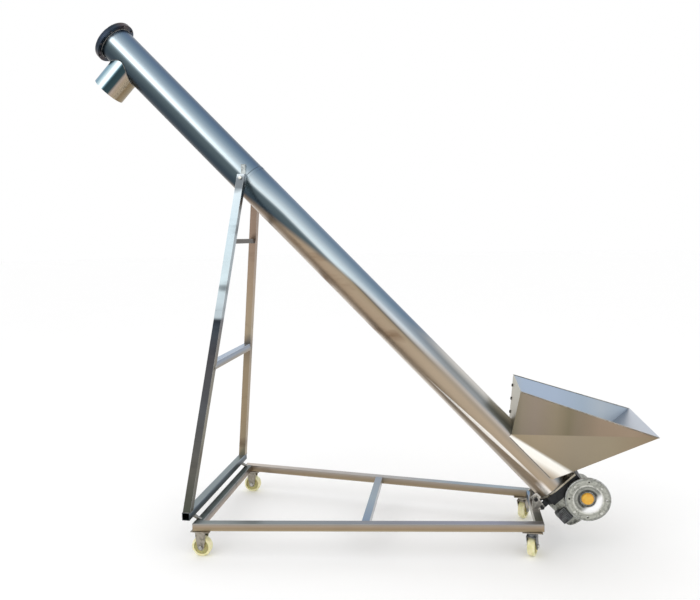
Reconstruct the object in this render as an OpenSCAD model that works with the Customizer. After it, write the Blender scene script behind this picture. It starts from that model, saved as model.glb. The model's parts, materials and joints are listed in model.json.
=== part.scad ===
// Mobile inclined grain auger: a wheeled trapezoid base, an A-shaped support, a round auger
// tube with a folded feed hopper, a discharge spout and a worm gear drive at its foot.
// X runs along the machine towards the hopper, Y across it, Z up. The origin is on the
// floor, under the middle of the overall length.

/* [Square tube frame] */
// Side of the square tube that the frame is welded from
bar = 40; // [30:1:48]
// Wall of the square tube
bar_wall = 2; // [1.5:0.5:4]
// Length of the base frame
base_len = 1763; // [1500:1:2100]
// Width of the base frame at the support end
base_wide = 884; // [740:1:1060]
// Width of the base frame at the drive end
base_narrow = 462; // [390:1:560]
// Near face of the middle cross rail, from the support end of the base
mid_rail_x = 853; // [600:1:1050]

/* [Casters] */
// Diameter of a caster wheel
wheel_d = 104; // [88:1:120]
// Width of a caster wheel
wheel_w = 36; // [30:1:40]
// Height from the wheel's top to the underside of the base frame
caster_head_h = 32; // [29:1:44]
// Distance from the swivel axis to the wheel's axle
caster_trail = 18; // [14:1:24]
// Distance from the wide end of the base to a fixed caster
fixed_inset = 40; // [36:1:60]
// Distance from the narrow end of the base to a swivel caster
swivel_inset = 58; // [52:1:80]
// Distance from the side of the base to the middle of a caster
caster_inset_y = 20; // [18:1:28]
// Heading of the swivel caster on the front side
heading_narrow_front = 250; // [0:1:360]
// Heading of the swivel caster on the rear side
heading_narrow_rear = 245; // [0:1:360]

/* [Support] */
// Gap between the base and the support's foot bar above it
foot_bar_gap = 20; // [12:1:30]
// How far the foot bar stands past the end of the base
foot_bar_out = 8; // [0:1:20]
// Length of the foot bar
foot_bar_len = 906; // [760:1:1080]
// Height of the top of the legs
leg_top_z = 1956; // [1800:1:2100]
// Place of the leg tops along the base, from its support end
leg_top_x = 219; // [200:1:240]
// Clear gap between a leg top and the side of the auger tube
leg_gap = 10; // [6:1:16]
// Height of the middle cross bar of the support
mid_bar_z = 965; // [800:1:1150]
// Height of the upper cross bar of the support
upper_bar_z = 1605; // [1450:1:1690]
// Side of the upper cross bar, a smaller square tube
upper_bar = 25; // [20:1:30]

/* [Auger tube] */
// Angle of the auger tube above the floor
incline = 45.7; // [44:0.1:47]
// Place of the tube's lower end along the base, on the tube's axis
foot_x = 1826; // [1800:1:1850]
// Height of the tube's lower end, on the tube's axis
foot_z = 296; // [285:1:320]
// Outer diameter of the auger tube
tube_d = 188; // [170:1:200]
// Wall of the auger tube
tube_wall = 3; // [2:0.5:4]
// Length of the lower tube section
lower_len = 2290; // [2250:1:2330]
// Length of the upper tube section
upper_len = 1082; // [1000:1:1200]
// Distance from the top of the tube down to the spout's axis
spout_drop = 150; // [125:1:200]
// Outer diameter of the discharge spout
spout_d = 174; // [140:1:180]
// Distance from the tube's axis to the spout's mouth
spout_reach = 218; // [180:1:260]
// Diameter of the flange and cap at the top of the tube
cap_d = 240; // [226:1:270]
// Thickness of the flange at the top of the tube
top_flange_t = 8; // [6:1:12]
// Depth of the cap over the top of the tube
cap_h = 22; // [20:1:40]

/* [Screw] */
// Clearance between the flight and the tube
flight_gap = 5; // [3:1:10]
// Pitch of the flight
flight_pitch = 165; // [140:1:200]
// Thickness of the flight
flight_t = 4; // [3:1:6]
// Diameter of the screw's pipe shaft
shaft_d = 48; // [40:1:56]
// Diameter of the drive journal at the screw's foot
journal_d = 35; // [30:1:36]
// Diameter of the journal at the screw's top
top_journal_d = 30; // [25:1:34]

/* [Hopper] */
// Thickness of the hopper's sheet
sheet = 2; // [1.5:0.5:4]
// Place of the rear rim along the base
rim_rear_x = 1645; // [1630:1:1665]
// Height of the rear rim
rim_rear_z = 842; // [780:1:920]
// Width of the rim at the rear
rim_rear_w = 394; // [330:1:460]
// Place of the front rim along the base
rim_front_x = 2279; // [2150:1:2400]
// Height of the front rim
rim_front_z = 648; // [600:1:700]
// Width of the rim at the front
rim_front_w = 524; // [450:1:620]
// Distance along the tube from its lower end to the throat's front edge
throat_front = 53; // [45:1:70]
// Distance along the tube from its lower end to the throat's rear edge
throat_rear = 357; // [330:1:380]
// Outer width of the throat where it meets the tube
throat_w = 176; // [150:1:178]
// Height of the throat's front corner above the tube's axis, square to it
throat_high = 125; // [110:1:150]

/* [Drive] */
// Thickness of the plate at the tube's lower end
end_plate_t = 8; // [6:1:12]
// Thickness of the black adaptor block
adaptor_t = 48; // [40:1:60]
// Distance between the screw's axis and the worm's axis
gear_centres = 100; // [96:1:112]
// Length of the gearbox along the screw's axis
gear_w = 150; // [140:1:170]
// Outer diameter of the gearbox's drum
drum_d = 172; // [168:1:184]
// Distance from the screw's axis to the face of the motor flange
motor_face = 130; // [124:1:150]
// Diameter of the motor flange
motor_flange_d = 224; // [200:1:250]
// Diameter of the circle that the motor's bolts lie on
motor_pcd = 184; // [165:1:190]
// Diameter of the motor's bolt holes
motor_hole_d = 11; // [9:1:14]
// Diameter of the recess that centres the motor
spigot_d = 142; // [120:1:146]
// Diameter of the motor shaft's bore through the flange
input_bore_d = 78; // [70:1:80]

/* [Hidden] */

$fn = 64;
// Radial clearance of a running fit, and of two pieces that are fixed together
run_fit = 0.05;
fix_fit = 0.02;
// Small gap between pieces that are welded or seated without sharing a curved face
seat = 0.3;
// Overshoot of a cut past the face that it opens
over = 2;

// ---- base frame ----
wheel_r = wheel_d / 2;
base_z = wheel_d + caster_head_h;
base_top = base_z + bar;
side_angle = atan((base_wide - base_narrow) / 2 / base_len);
side_bar_y = bar / cos(side_angle);
side_wall_y = bar_wall / cos(side_angle);
function side_y(x) = base_wide / 2 - (base_wide - base_narrow) / 2 * x / base_len;
function inner_y(x) = side_y(x) - side_bar_y;

// ---- support ----
foot_bar_x = bar / 2 - foot_bar_out - bar;
foot_bar_z = base_top + foot_bar_gap + bar / 2;
tube_r = tube_d / 2;
leg_top = [leg_top_x, tube_r + leg_gap + bar / 2, leg_top_z];
leg_foot = [foot_bar_x, foot_bar_len / 2 - bar / 2, foot_bar_z];
leg_dir = leg_top - leg_foot;
function leg_at(z) = leg_foot + leg_dir * (z - foot_bar_z) / leg_dir[2];

// ---- auger axis ----
tube_len = lower_len + upper_len;
tube_in = tube_r - tube_wall;
spout_at = tube_len - spout_drop;
spout_r = spout_d / 2;
cap_top = tube_len + cap_h;
// Point of the base frame that lies u across and v along the auger's axis from the tube's foot
function on_axis(u, v) = [
    foot_x - v * cos(incline) + u * sin(incline),
    foot_z + v * sin(incline) + u * cos(incline)
];

// ---- overall box, for the origin ----
x_low = on_axis(-spout_reach, spout_at + spout_r)[0];
origin_x = (x_low + rim_front_x) / 2;

// ---- moving fits ----
journal_r = journal_d / 2;
top_journal_r = top_journal_d / 2;
shaft_r = shaft_d / 2;
flight_r = tube_in - flight_gap;

// ---- drive stack, measured down the axis from the tube's foot ----
adaptor_face = -end_plate_t;
gear_face = adaptor_face - adaptor_t;
gear_mid = gear_face - gear_w / 2;
gear_back = gear_face - gear_w;
drum_r = drum_d / 2;
drum_wall = 8;
worm_crest = 24;
wheel_tip = gear_centres - worm_crest - 1;
worm_journal_r = 15;
worm_bearing_r = 31;
worm_case_r = 52;
motor_flange_t = 16;
motor_flange_r = motor_flange_d / 2;
motor_seat = -(motor_face - motor_flange_t);
worm_case_back = 96;

// ---- hopper ----
throat_half = throat_w / 2;

module base_place() translate([-origin_x, 0, 0]) children();
module auger_place()
    base_place() translate([foot_x, 0, foot_z]) rotate([0, incline - 90, 0]) children();

// ---------------------------------------------------------------- square tube helpers

// Plan outline extruded to the height of the bar, hollow along its length
module plan_bar(outer, inner) {
    translate([0, 0, base_z]) difference() {
        linear_extrude(bar) polygon(outer);
        translate([0, 0, bar_wall]) linear_extrude(bar - 2 * bar_wall) polygon(inner);
    }
}

module side_rail(side) {
    x0 = -over;
    x1 = base_len + over;
    outer = [[0, side * side_y(0)], [base_len, side * side_y(base_len)],
             [base_len, side * inner_y(base_len)], [0, side * inner_y(0)]];
    inner = [[x0, side * (side_y(x0) - side_wall_y)], [x1, side * (side_y(x1) - side_wall_y)],
             [x1, side * (inner_y(x1) + side_wall_y)], [x0, side * (inner_y(x0) + side_wall_y)]];
    base_place() plan_bar(outer, inner);
}

module cross_rail(x) {
    a = x + bar_wall;
    b = x + bar - bar_wall;
    outer = [[x, -inner_y(x)], [x + bar, -inner_y(x + bar)], [x + bar, inner_y(x + bar)], [x, inner_y(x)]];
    inner = [[a, -side_y(a)], [b, -side_y(b)], [b, side_y(b)], [a, side_y(a)]];
    base_place() plan_bar(outer, inner);
}

// Square tube from p to q, with two faces kept square to the XZ plane's horizontal
module strut(p, q, size, wall) {
    d = q - p;
    len = norm(d);
    translate(p) rotate([-asin(d[1] / len), atan2(d[0], d[2]), 0]) difference() {
        translate([-size / 2, -size / 2, 0]) cube([size, size, len]);
        if (wall > 0) {
            translate([wall - size / 2, wall - size / 2, -over])
                cube([size - 2 * wall, size - 2 * wall, len + 2 * over]);
        }
    }
}

module hex_head(across, height) cylinder(d = across / cos(30), h = height, $fn = 6);

// ---------------------------------------------------------------- base frame

module base_rail_front() color("#a59a86") side_rail(-1);
module base_rail_rear() color("#a59a86") side_rail(1);
module cross_rail_wide() color("#8e8f90") cross_rail(0);
module cross_rail_mid() color("#8e8f90") cross_rail(mid_rail_x);
module cross_rail_narrow() color("#8e8f90") cross_rail(base_len - bar);

// Plugs in the four open ends of the side rails
module rail_end_caps() {
    plug = 3;
    color("#2e2f31") base_place() for (side = [-1, 1], end = [0, base_len - plug]) {
        a = side_y(end) - side_wall_y - fix_fit;
        b = inner_y(end) + side_wall_y + fix_fit;
        slope = tan(side_angle) * plug;
        translate([0, 0, base_z + bar_wall + fix_fit])
            linear_extrude(bar - 2 * (bar_wall + fix_fit))
                polygon([[end, side * a], [end + plug, side * (a - slope)],
                         [end + plug, side * (b - slope)], [end, side * b]]);
    }
}

// ---------------------------------------------------------------- casters

caster_plate_t = 4;
caster_plate_x = 100;
caster_plate_y = 60;
caster_hole_x = 80;
caster_hole_y = 26;
caster_bolt_r = 4;
kingpin_r = 6;
head_r = 32;
fork_t = 3.5;
fork_in = wheel_w / 2 + 3;
fork_w = 2 * (fork_in + fork_t);
fork_top_w = 54;
fork_toe_r = 18;
axle_r = 6;
crown_z = wheel_d + 5;
plate_z = base_z - caster_plate_t;
head_gap = 1;
swivel_x = base_len - swivel_inset;
corners = [for (x = [fixed_inset, swivel_x], side = [-1, 1]) [x, side * (side_y(x) - caster_inset_y)]];
headings = [0, 0, heading_narrow_front, heading_narrow_rear];
trails = [0, 0, caster_trail, caster_trail];

module caster_place(i)
    base_place() translate([corners[i][0], corners[i][1], 0]) rotate(headings[i]) children();

module plate_place(i) base_place() translate([corners[i][0], corners[i][1], 0]) children();

module caster_plates() {
    color("#b9b9b4") for (i = [0 : 3]) plate_place(i) difference() {
        translate([-caster_plate_x / 2, -caster_plate_y / 2, plate_z])
            cube([caster_plate_x, caster_plate_y, caster_plate_t]);
        for (sx = [-1, 1], sy = [-1, 1])
            translate([sx * caster_hole_x / 2, sy * caster_hole_y / 2, plate_z - over])
                cylinder(r = caster_bolt_r + fix_fit, h = caster_plate_t + 2 * over);
        if (trails[i] > 0) translate([0, 0, plate_z - over])
            cylinder(r = kingpin_r + run_fit, h = caster_plate_t + 2 * over);
    }
}

// Hex bolts that hold each top plate up against the frame
module caster_bolts() {
    color("#8d8f90") for (i = [0 : 3]) plate_place(i)
        for (sx = [-1, 1], sy = [-1, 1])
            translate([sx * caster_hole_x / 2, sy * caster_hole_y / 2, plate_z]) {
                translate([0, 0, -5]) hex_head(13, 5);
                cylinder(r = caster_bolt_r, h = caster_plate_t);
            }
}

// Two tapered cheeks with round toes, bored for the axle
module cheeks(trail, top) {
    outline = [[-fork_top_w / 2, top], [fork_top_w / 2, top], [fork_top_w / 2, crown_z],
               [-trail + fork_toe_r, wheel_r], [-trail - fork_toe_r, wheel_r], [-fork_top_w / 2, crown_z]];
    difference() {
        for (side = [-1, 1]) translate([0, side > 0 ? fork_in + fork_t : -fork_in, 0])
            rotate([90, 0, 0]) linear_extrude(fork_t) union() {
                polygon(outline);
                translate([-trail, wheel_r]) circle(fork_toe_r);
            }
        translate([-trail, 0, wheel_r]) rotate([90, 0, 0])
            cylinder(r = axle_r + fix_fit, h = 3 * wheel_w, center = true);
    }
}

// Fixed fork: two cheeks under a flat web that meets the top plate
module fixed_fork(i) {
    color("#b4b2aa") caster_place(i) {
        cheeks(0, plate_z);
        translate([-fork_top_w / 2, -fork_w / 2, plate_z - fork_t]) cube([fork_top_w, fork_w, fork_t]);
    }
}

// Swivel fork: a flared head with the kingpin, a crown and two cheeks
module swivel_fork(i) {
    head_top = plate_z - head_gap;
    color("#b4b2aa") caster_place(i) {
        cheeks(caster_trail, crown_z + fork_t);
        translate([-fork_top_w / 2, -fork_w / 2, crown_z]) cube([fork_top_w, fork_w, fork_t]);
        translate([0, 0, crown_z]) cylinder(r1 = fork_w / 2, r2 = head_r, h = head_top - crown_z);
        translate([0, 0, crown_z]) cylinder(r = kingpin_r, h = base_z - crown_z - fix_fit);
    }
}

// Moulded wheel: crowned tread, dished sides, hub that nearly fills the fork
module wheel(i) {
    bore = axle_r + run_fit;
    hub = 18;
    hub_w = fork_in - 0.5;
    rim_in = wheel_r - 13;
    edge = 5;
    half = wheel_w / 2;
    web = 6;
    color("#e6dfbd") caster_place(i) translate([-trails[i], 0, wheel_r]) rotate([90, 0, 0])
        rotate_extrude() polygon([
            [bore, -hub_w], [hub, -hub_w], [hub, -web], [rim_in, -web], [rim_in, -half],
            [wheel_r - edge, -half], [wheel_r - 1, -half + edge], [wheel_r, -half / 3],
            [wheel_r, half / 3], [wheel_r - 1, half - edge], [wheel_r - edge, half],
            [rim_in, half], [rim_in, web], [hub, web], [hub, hub_w], [bore, hub_w]]);
}

// Axle bolt with a hex head on one cheek and a nut on the other
module axle(i) {
    reach = fork_in + fork_t;
    color("#8d8f90") caster_place(i) translate([-trails[i], 0, wheel_r]) rotate([90, 0, 0]) {
        cylinder(r = axle_r, h = 2 * reach + 8, center = true);
        translate([0, 0, reach]) hex_head(18, 6);
        translate([0, 0, -reach - 7]) hex_head(18, 7);
    }
}

module fork_wide_front() fixed_fork(0);
module fork_wide_rear() fixed_fork(1);
module fork_narrow_front() swivel_fork(2);
module fork_narrow_rear() swivel_fork(3);
module wheel_wide_front() wheel(0);
module wheel_wide_rear() wheel(1);
module wheel_narrow_front() wheel(2);
module wheel_narrow_rear() wheel(3);
module axle_wide_front() axle(0);
module axle_wide_rear() axle(1);
module axle_narrow_front() axle(2);
module axle_narrow_rear() axle(3);

// ---------------------------------------------------------------- support

module support_foot_bar() {
    color("#7d8187") base_place()
        strut([foot_bar_x, -foot_bar_len / 2, foot_bar_z], [foot_bar_x, foot_bar_len / 2, foot_bar_z],
              bar, bar_wall);
}

// Slanted lugs that carry the foot bar on the wide end of the base
module support_foot_tabs() {
    tab_w = 16;
    tab_in = 62;
    bar_end = foot_bar_x + bar / 2;
    outline = [[1, base_top], [26, base_top], [bar_end, base_top + foot_bar_gap],
               [bar_end - 26, base_top + foot_bar_gap]];
    color("#6f7478") base_place() for (side = [-1, 1])
        xz_plate(side * (base_wide / 2 - tab_in), tab_w) polygon(outline);
}

// One leg as a square bar, cut level above the foot bar and at the leg's top
module leg_body(side, wall, size = bar) {
    low = foot_bar_z + bar / 2;
    extra = [leg_dir[0], leg_dir[1] * side, leg_dir[2]] * 0.03;
    intersection() {
        strut([leg_foot[0], leg_foot[1] * side, leg_foot[2]],
              [leg_top[0], leg_top[1] * side, leg_top[2]] + extra, size, wall);
        translate([-500, -1000, low]) cube([1500, 2000, leg_top_z - low]);
    }
}

module support_leg(side) color("#8f8f8c") base_place() leg_body(side, bar_wall);
module support_leg_front() difference() {
    support_leg(-1);
    base_place() ear_bolt_place(-1) cylinder(r = ear_bolt_r + fix_fit, h = 3 * bar, center = true);
}
module support_leg_rear() difference() {
    support_leg(1);
    base_place() ear_bolt_place(1) cylinder(r = ear_bolt_r + fix_fit, h = 3 * bar, center = true);
}

// Cross bar between the two legs, cut to the slope of their inner faces
module leg_tie(z, size) {
    p = leg_at(z);
    base_place() difference() {
        strut([p[0], -p[1], z], [p[0], p[1], z], size, bar_wall);
        leg_body(-1, 0, bar + 2 * fix_fit);
        leg_body(1, 0, bar + 2 * fix_fit);
    }
}
module support_mid_bar() color("#8b8d91") leg_tie(mid_bar_z, bar);
module support_upper_bar() color("#8b8d91") leg_tie(upper_bar_z, upper_bar);

// Ears welded to the tube's sides, which the leg tops bolt to
ear_w = 24;
ear_top = 54;
ear_drop = 62;
ear_bolt_r = 5;
ear_bolt_drop = 24;
ear_pad = 12;
module ear_bolt_place(side) {
    p = leg_at(leg_top_z - ear_bolt_drop);
    d = [leg_dir[0], leg_dir[1] * side, leg_dir[2]];
    translate([p[0], p[1] * side, p[2]])
        rotate([-asin(d[1] / norm(d)), atan2(d[0], d[2]), 0]) rotate([side * 90, 0, 0]) children();
}
module ear(side) {
    p = leg_at(leg_top_z);
    inner = tube_r - ear_pad;
    outer = p[1] - bar / 2;
    color("#c3c8ca") difference() {
        base_place() union() {
            translate([p[0] - ear_w / 2, side > 0 ? inner : -outer, leg_top_z - ear_drop])
                cube([ear_w, outer - inner, ear_drop + ear_top]);
            translate([p[0] - ear_w / 2, side > 0 ? outer - 1 : -outer - bar / 2 + 1, leg_top_z - ear_drop])
                cube([ear_w, bar / 2, ear_drop - 4]);
        }
        base_place() leg_body(side, 0, bar + 2 * fix_fit);
        auger_place() cylinder(r = tube_r + seat, h = tube_len);
        auger_place() translate([0, 0, lower_len - band_w / 2 - seat])
            cylinder(r = tube_r + band_t + seat, h = band_w + 2 * seat);
        base_place() ear_bolt_place(side)
            translate([0, 0, -bar]) cylinder(r = ear_bolt_r + fix_fit, h = bar + ear_pad + bar / 2);
    }
}
module ear_front() ear(-1);
module ear_rear() ear(1);

module ear_bolts() {
    color("#6c6e70") base_place() for (side = [-1, 1]) ear_bolt_place(side) {
        translate([0, 0, -bar / 2 - 7]) hex_head(17, 7 - fix_fit);
        translate([0, 0, -bar / 2 - over]) cylinder(r = ear_bolt_r, h = bar + over + 6);
    }
}

// ---------------------------------------------------------------- auger tube

slot_half = throat_half - sheet - 4;
slot_front = throat_front + 8;
slot_rear = throat_rear - 8;

module tube_lower() {
    color("#a9a596") auger_place() difference() {
        cylinder(r = tube_r, h = lower_len);
        translate([0, 0, -over]) cylinder(r = tube_in, h = lower_len + 2 * over);
        translate([0, -slot_half, slot_front]) cube([tube_d, 2 * slot_half, slot_rear - slot_front]);
    }
}

module tube_upper() {
    color("#9fb0bd") auger_place() difference() {
        translate([0, 0, lower_len]) cylinder(r = tube_r, h = upper_len);
        translate([0, 0, lower_len - over]) cylinder(r = tube_in, h = upper_len + 2 * over);
        translate([0, 0, spout_at]) rotate([0, -90, 0]) cylinder(r = spout_r - tube_wall, h = tube_d);
    }
}

// Thin band round the butt joint of the two sections
band_t = 1.5;
band_w = 14;
module seam_sleeve() {
    color("#7c8690") auger_place() translate([0, 0, lower_len - band_w / 2]) difference() {
        cylinder(r = tube_r + band_t, h = band_w);
        translate([0, 0, -over]) cylinder(r = tube_r + fix_fit, h = band_w + 2 * over);
    }
}

module discharge_spout() {
    color("#a8a79c") auger_place() difference() {
        translate([0, 0, spout_at]) rotate([0, -90, 0]) difference() {
            cylinder(r = spout_r, h = spout_reach);
            translate([0, 0, -over]) cylinder(r = spout_r - tube_wall, h = spout_reach + 2 * over);
        }
        translate([0, 0, lower_len]) cylinder(r = tube_r + seat, h = upper_len + 2 * over);
    }
}

cap_bolt_count = 8;
cap_bolt_r = 3;
cap_bolt_hex = 11;
cap_bolt_pcd = cap_d - 18;
module cap_bolt_places()
    for (k = [0 : cap_bolt_count - 1]) rotate(22.5 + k * 360 / cap_bolt_count)
        translate([cap_bolt_pcd / 2, 0, 0]) children();

module top_flange() {
    color("#39424d") auger_place() translate([0, 0, tube_len - top_flange_t]) difference() {
        cylinder(r = cap_d / 2, h = top_flange_t);
        translate([0, 0, -over]) cylinder(r = tube_r + fix_fit, h = top_flange_t + 2 * over);
        cap_bolt_places() translate([0, 0, -over])
            cylinder(r = cap_bolt_r + fix_fit, h = top_flange_t + 2 * over);
    }
}

// Round-edged cap that closes the tube's top, with a boss inside for the screw's upper bearing
cap_round = 12;
boss_r = 42;
boss_h = 24;
top_bearing_r = 31;
top_bearing_h = 16;
module top_cap() {
    r = cap_d / 2;
    flat = cap_h - cap_round;
    color("#323a44") auger_place() translate([0, 0, tube_len + fix_fit]) difference() {
        union() {
            cylinder(r = r, h = flat);
            translate([0, 0, flat]) rotate_extrude() {
                square([r - cap_round, cap_round]);
                translate([r - cap_round, 0]) intersection() {
                    circle(cap_round);
                    square(cap_round);
                }
            }
            translate([0, 0, -boss_h]) cylinder(r = boss_r, h = boss_h + over);
        }
        translate([0, 0, -boss_h - over]) cylinder(r = top_bearing_r + fix_fit, h = boss_h + over);
        cap_bolt_places() translate([0, 0, -over]) cylinder(r = cap_bolt_r + fix_fit, h = cap_h + 2 * over);
        cap_bolt_places() translate([0, 0, flat]) cylinder(r = 7, h = cap_h);
    }
}

module cap_bolts() {
    flat = cap_h - cap_round;
    color("#8d8f90") auger_place() cap_bolt_places() {
        translate([0, 0, tube_len - top_flange_t - 5]) hex_head(cap_bolt_hex, 5 - fix_fit);
        translate([0, 0, tube_len - top_flange_t - 1]) cylinder(r = cap_bolt_r, h = top_flange_t + flat + 2);
        translate([0, 0, tube_len + flat + 2 * fix_fit]) hex_head(cap_bolt_hex, 5);
    }
}

module top_bearing() {
    color("#c8c9c8") auger_place() translate([0, 0, tube_len - top_bearing_h - 4]) difference() {
        cylinder(r = top_bearing_r, h = top_bearing_h);
        translate([0, 0, -over]) cylinder(r = top_journal_r + run_fit, h = top_bearing_h + 2 * over);
    }
}

// ---------------------------------------------------------------- hopper

// Height of the sloping rim plane above a place along the base
rim_slope = (rim_front_z - rim_rear_z) / (rim_front_x - rim_rear_x);
function rim_z(x) = rim_rear_z + rim_slope * (x - rim_rear_x);
function bent(uv, y) = [uv[0], y, uv[1]];

// Corner points of the folded sheet on one side, moved inwards by d: rear rim, front rim, crease on
// the rear corner, throat's front foot, fold on the front corner, throat's rear foot
throat_u = sqrt(tube_r * tube_r - throat_half * throat_half);
throat_lap = 12;
throat_crease = 50;
fold_back = 38;
function hopper_side(side, d) = let(
    y = side * (throat_half - d),
    front_x = rim_front_x - 2.1 * d
) [
    [rim_rear_x + d, side * (rim_rear_w / 2 - d), rim_z(rim_rear_x + d)],
    [front_x, side * (rim_front_w / 2 - d), rim_z(front_x)],
    bent(on_axis(throat_crease, throat_rear - d), y),
    bent(on_axis(throat_u - throat_lap, throat_front + d), y),
    bent(on_axis(throat_high, throat_front - fold_back + d), y + side * 2),
    bent(on_axis(throat_u - throat_lap, throat_rear - d), y)
];

module hopper() {
    points = concat(hopper_side(-1, 0), hopper_side(1, 0), hopper_side(-1, sheet), hopper_side(1, sheet));
    inside = [12, 12, 12];
    // one skin: rear wall, folded sides, front wall
    skin = [[0, 8, 6], [0, 2, 8], [2, 11, 8], [2, 5, 11],
            [0, 1, 2], [2, 1, 4], [2, 4, 5], [5, 4, 3],
            [6, 8, 7], [8, 10, 7], [8, 11, 10], [11, 9, 10],
            [1, 7, 4], [4, 7, 10], [4, 10, 3], [3, 10, 9]];
    edge = function(loop) [for (i = [0 : 3]) let(a = loop[i], b = loop[(i + 1) % 4])
        each [[a, b + 12, b], [a, a + 12, b + 12]]];
    faces = concat(skin, [for (f = skin) [f[0], f[2], f[1]] + inside],
                   edge([0, 1, 7, 6]), edge([5, 11, 9, 3]));
    color("#a89a84") base_place() difference() {
        polyhedron(points, faces);
        translate([foot_x, 0, foot_z]) rotate([0, incline - 90, 0])
            cylinder(r = tube_r + seat, h = lower_len / 2);
    }
}

// Three bolt heads down the rear wall, near its far edge
module hopper_rivets() {
    head_in = 26;
    p = hopper_side(1, 0);
    lean = p[0] - p[2];
    tilt = atan2(lean[0], lean[2]);
    color("#3a3c3e") base_place() for (k = [0.2, 0.46, 0.72]) {
        q = p[0] - lean * k;
        translate([q[0], q[1] - head_in, q[2]]) rotate([0, tilt - 90, 0]) translate([0, 0, fix_fit])
            cylinder(r = 8, h = 6);
    }
}

// ---------------------------------------------------------------- foot of the tube

plate_up = 140;
plate_half = 100;
adaptor_low = 50;
adaptor_high = 144;
bore_clear = 6;

// U-shaped outline: round below the axis, square above it
module end_outline(r, half, up) {
    circle(r);
    translate([0, -half]) square([up, 2 * half]);
}

module tube_end_plate() {
    color("#d6d3c8") auger_place() translate([0, 0, -end_plate_t]) difference() {
        linear_extrude(end_plate_t) end_outline(tube_r + 2, plate_half, plate_up);
        translate([0, 0, -over]) cylinder(r = journal_r + bore_clear, h = end_plate_t + 2 * over);
        adaptor_bolt_places() translate([0, 0, -over])
            cylinder(r = 4 + fix_fit, h = end_plate_t + 2 * over);
    }
}

module adaptor_bolt_places()
    for (u = [-30, adaptor_high - 16], side = [-1, 1])
        translate([u, side * (plate_half - 12), 0]) children();

module adaptor_block() {
    color("#1d1e20") auger_place() translate([0, 0, gear_face]) difference() {
        linear_extrude(adaptor_t - fix_fit) union() {
            circle(tube_r - 2);
            translate([-adaptor_low, -plate_half]) square([adaptor_low + adaptor_high, 2 * plate_half]);
        }
        translate([0, 0, -over]) cylinder(r = journal_r + bore_clear, h = adaptor_t + 2 * over);
        translate([0, 0, adaptor_t - 14]) cylinder(r = seal_r + fix_fit, h = 14 + over);
        adaptor_bolt_places() translate([0, 0, -over])
            cylinder(r = 4 + fix_fit, h = adaptor_t + 2 * over);
    }
}

seal_r = 34;
module shaft_seal() {
    color("#2a2420") auger_place() translate([0, 0, adaptor_face - 14 + fix_fit]) difference() {
        cylinder(r = seal_r, h = 14 - 2 * fix_fit);
        translate([0, 0, -over]) cylinder(r = journal_r + run_fit, h = 14 + 2 * over);
    }
}

// Bracket plates on the narrow cross rail, and the lugs that pin to them
bracket_y = 58;
bracket_t = 8;
lug_t = 8;
pin_r = 6;
pin_tube = on_axis(-104, 14);
pin_drive = on_axis(-110, -38);
module xz_plate(y, t) translate([0, y + t / 2, 0]) rotate([90, 0, 0]) linear_extrude(t) children();
module pin_holes(places, r) for (p = places) translate([p[0], 0, p[1]]) rotate([90, 0, 0])
    cylinder(r = r, h = 400, center = true);

module foot_bracket() {
    rail_in = base_len - bar;
    outline = [[rail_in, base_top], [base_len, base_top], [pin_drive[0] + 12, pin_drive[1] - 12],
               [pin_drive[0] + 12, pin_drive[1] + 6], [pin_tube[0] + 10, pin_tube[1] + 14],
               [pin_tube[0] - 14, pin_tube[1] + 14], [rail_in, base_top + 12]];
    color("#c2b8ac") base_place() difference() {
        for (side = [-1, 1]) xz_plate(side * bracket_y, bracket_t) polygon(outline);
        pin_holes([pin_tube, pin_drive], pin_r + fix_fit);
    }
}

module lug(places, low_u, v0, v1) {
    y = bracket_y - bracket_t / 2 - lug_t / 2 - seat;
    difference() {
        for (side = [-1, 1]) auger_place() translate([low_u, side * y - lug_t / 2, v0])
            cube([-low_u, lug_t, v1 - v0]);
        children();
        base_place() pin_holes(places, pin_r + fix_fit);
    }
}
module tube_lug() color("#b5ac9c") lug([pin_tube], -120, 0, 34)
    auger_place() translate([0, 0, -1]) cylinder(r = tube_r + seat, h = 60);
module adaptor_lug() color("#26272a") lug([pin_drive], -124, -52, -22)
    auger_place() translate([0, 0, -100]) cylinder(r = tube_r - 2 + seat, h = 120);

module foot_pins() {
    half = bracket_y + bracket_t / 2;
    color("#2b2622") base_place() for (p = [pin_tube, pin_drive]) translate([p[0], 0, p[1]])
        rotate([90, 0, 0]) {
            cylinder(r = pin_r, h = 2 * half, center = true);
            for (side = [0, 1]) mirror([0, 0, side]) translate([0, 0, half]) hex_head(19, 8);
        }
}

// ---------------------------------------------------------------- screw

screw_foot = 12;
screw_top = tube_len - boss_h - 6;
module screw_shaft() {
    pipe_wall = 4;
    color("#9a9b9a") auger_place() {
        difference() {
            translate([0, 0, screw_foot]) cylinder(r = shaft_r, h = screw_top - screw_foot);
            translate([0, 0, screw_foot + 30])
                cylinder(r = shaft_r - pipe_wall, h = screw_top - screw_foot - 60);
        }
        difference() {
            translate([0, 0, gear_back - 3]) cylinder(r = journal_r, h = screw_foot - gear_back + 3 + over);
            translate([journal_r - 5, -5 - fix_fit, gear_mid - 30]) cube([10, 10 + 2 * fix_fit, 60]);
        }
        translate([0, 0, screw_top - over]) cylinder(r = top_journal_r, h = tube_len - 4 - screw_top + over);
    }
}

// Helical flight, swept round the shaft as one closed ribbon
steps_per_turn = 24;
flight_start = 24;
flight_end = spout_at - 10;
flight_steps = floor((flight_end - flight_start) / flight_pitch * steps_per_turn);
inlet_steps = ceil((throat_rear + 40 - flight_start) / flight_pitch * steps_per_turn);
outlet_steps = ceil((spout_at - spout_d / 2 - 150 - flight_start) / flight_pitch * steps_per_turn);

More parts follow.
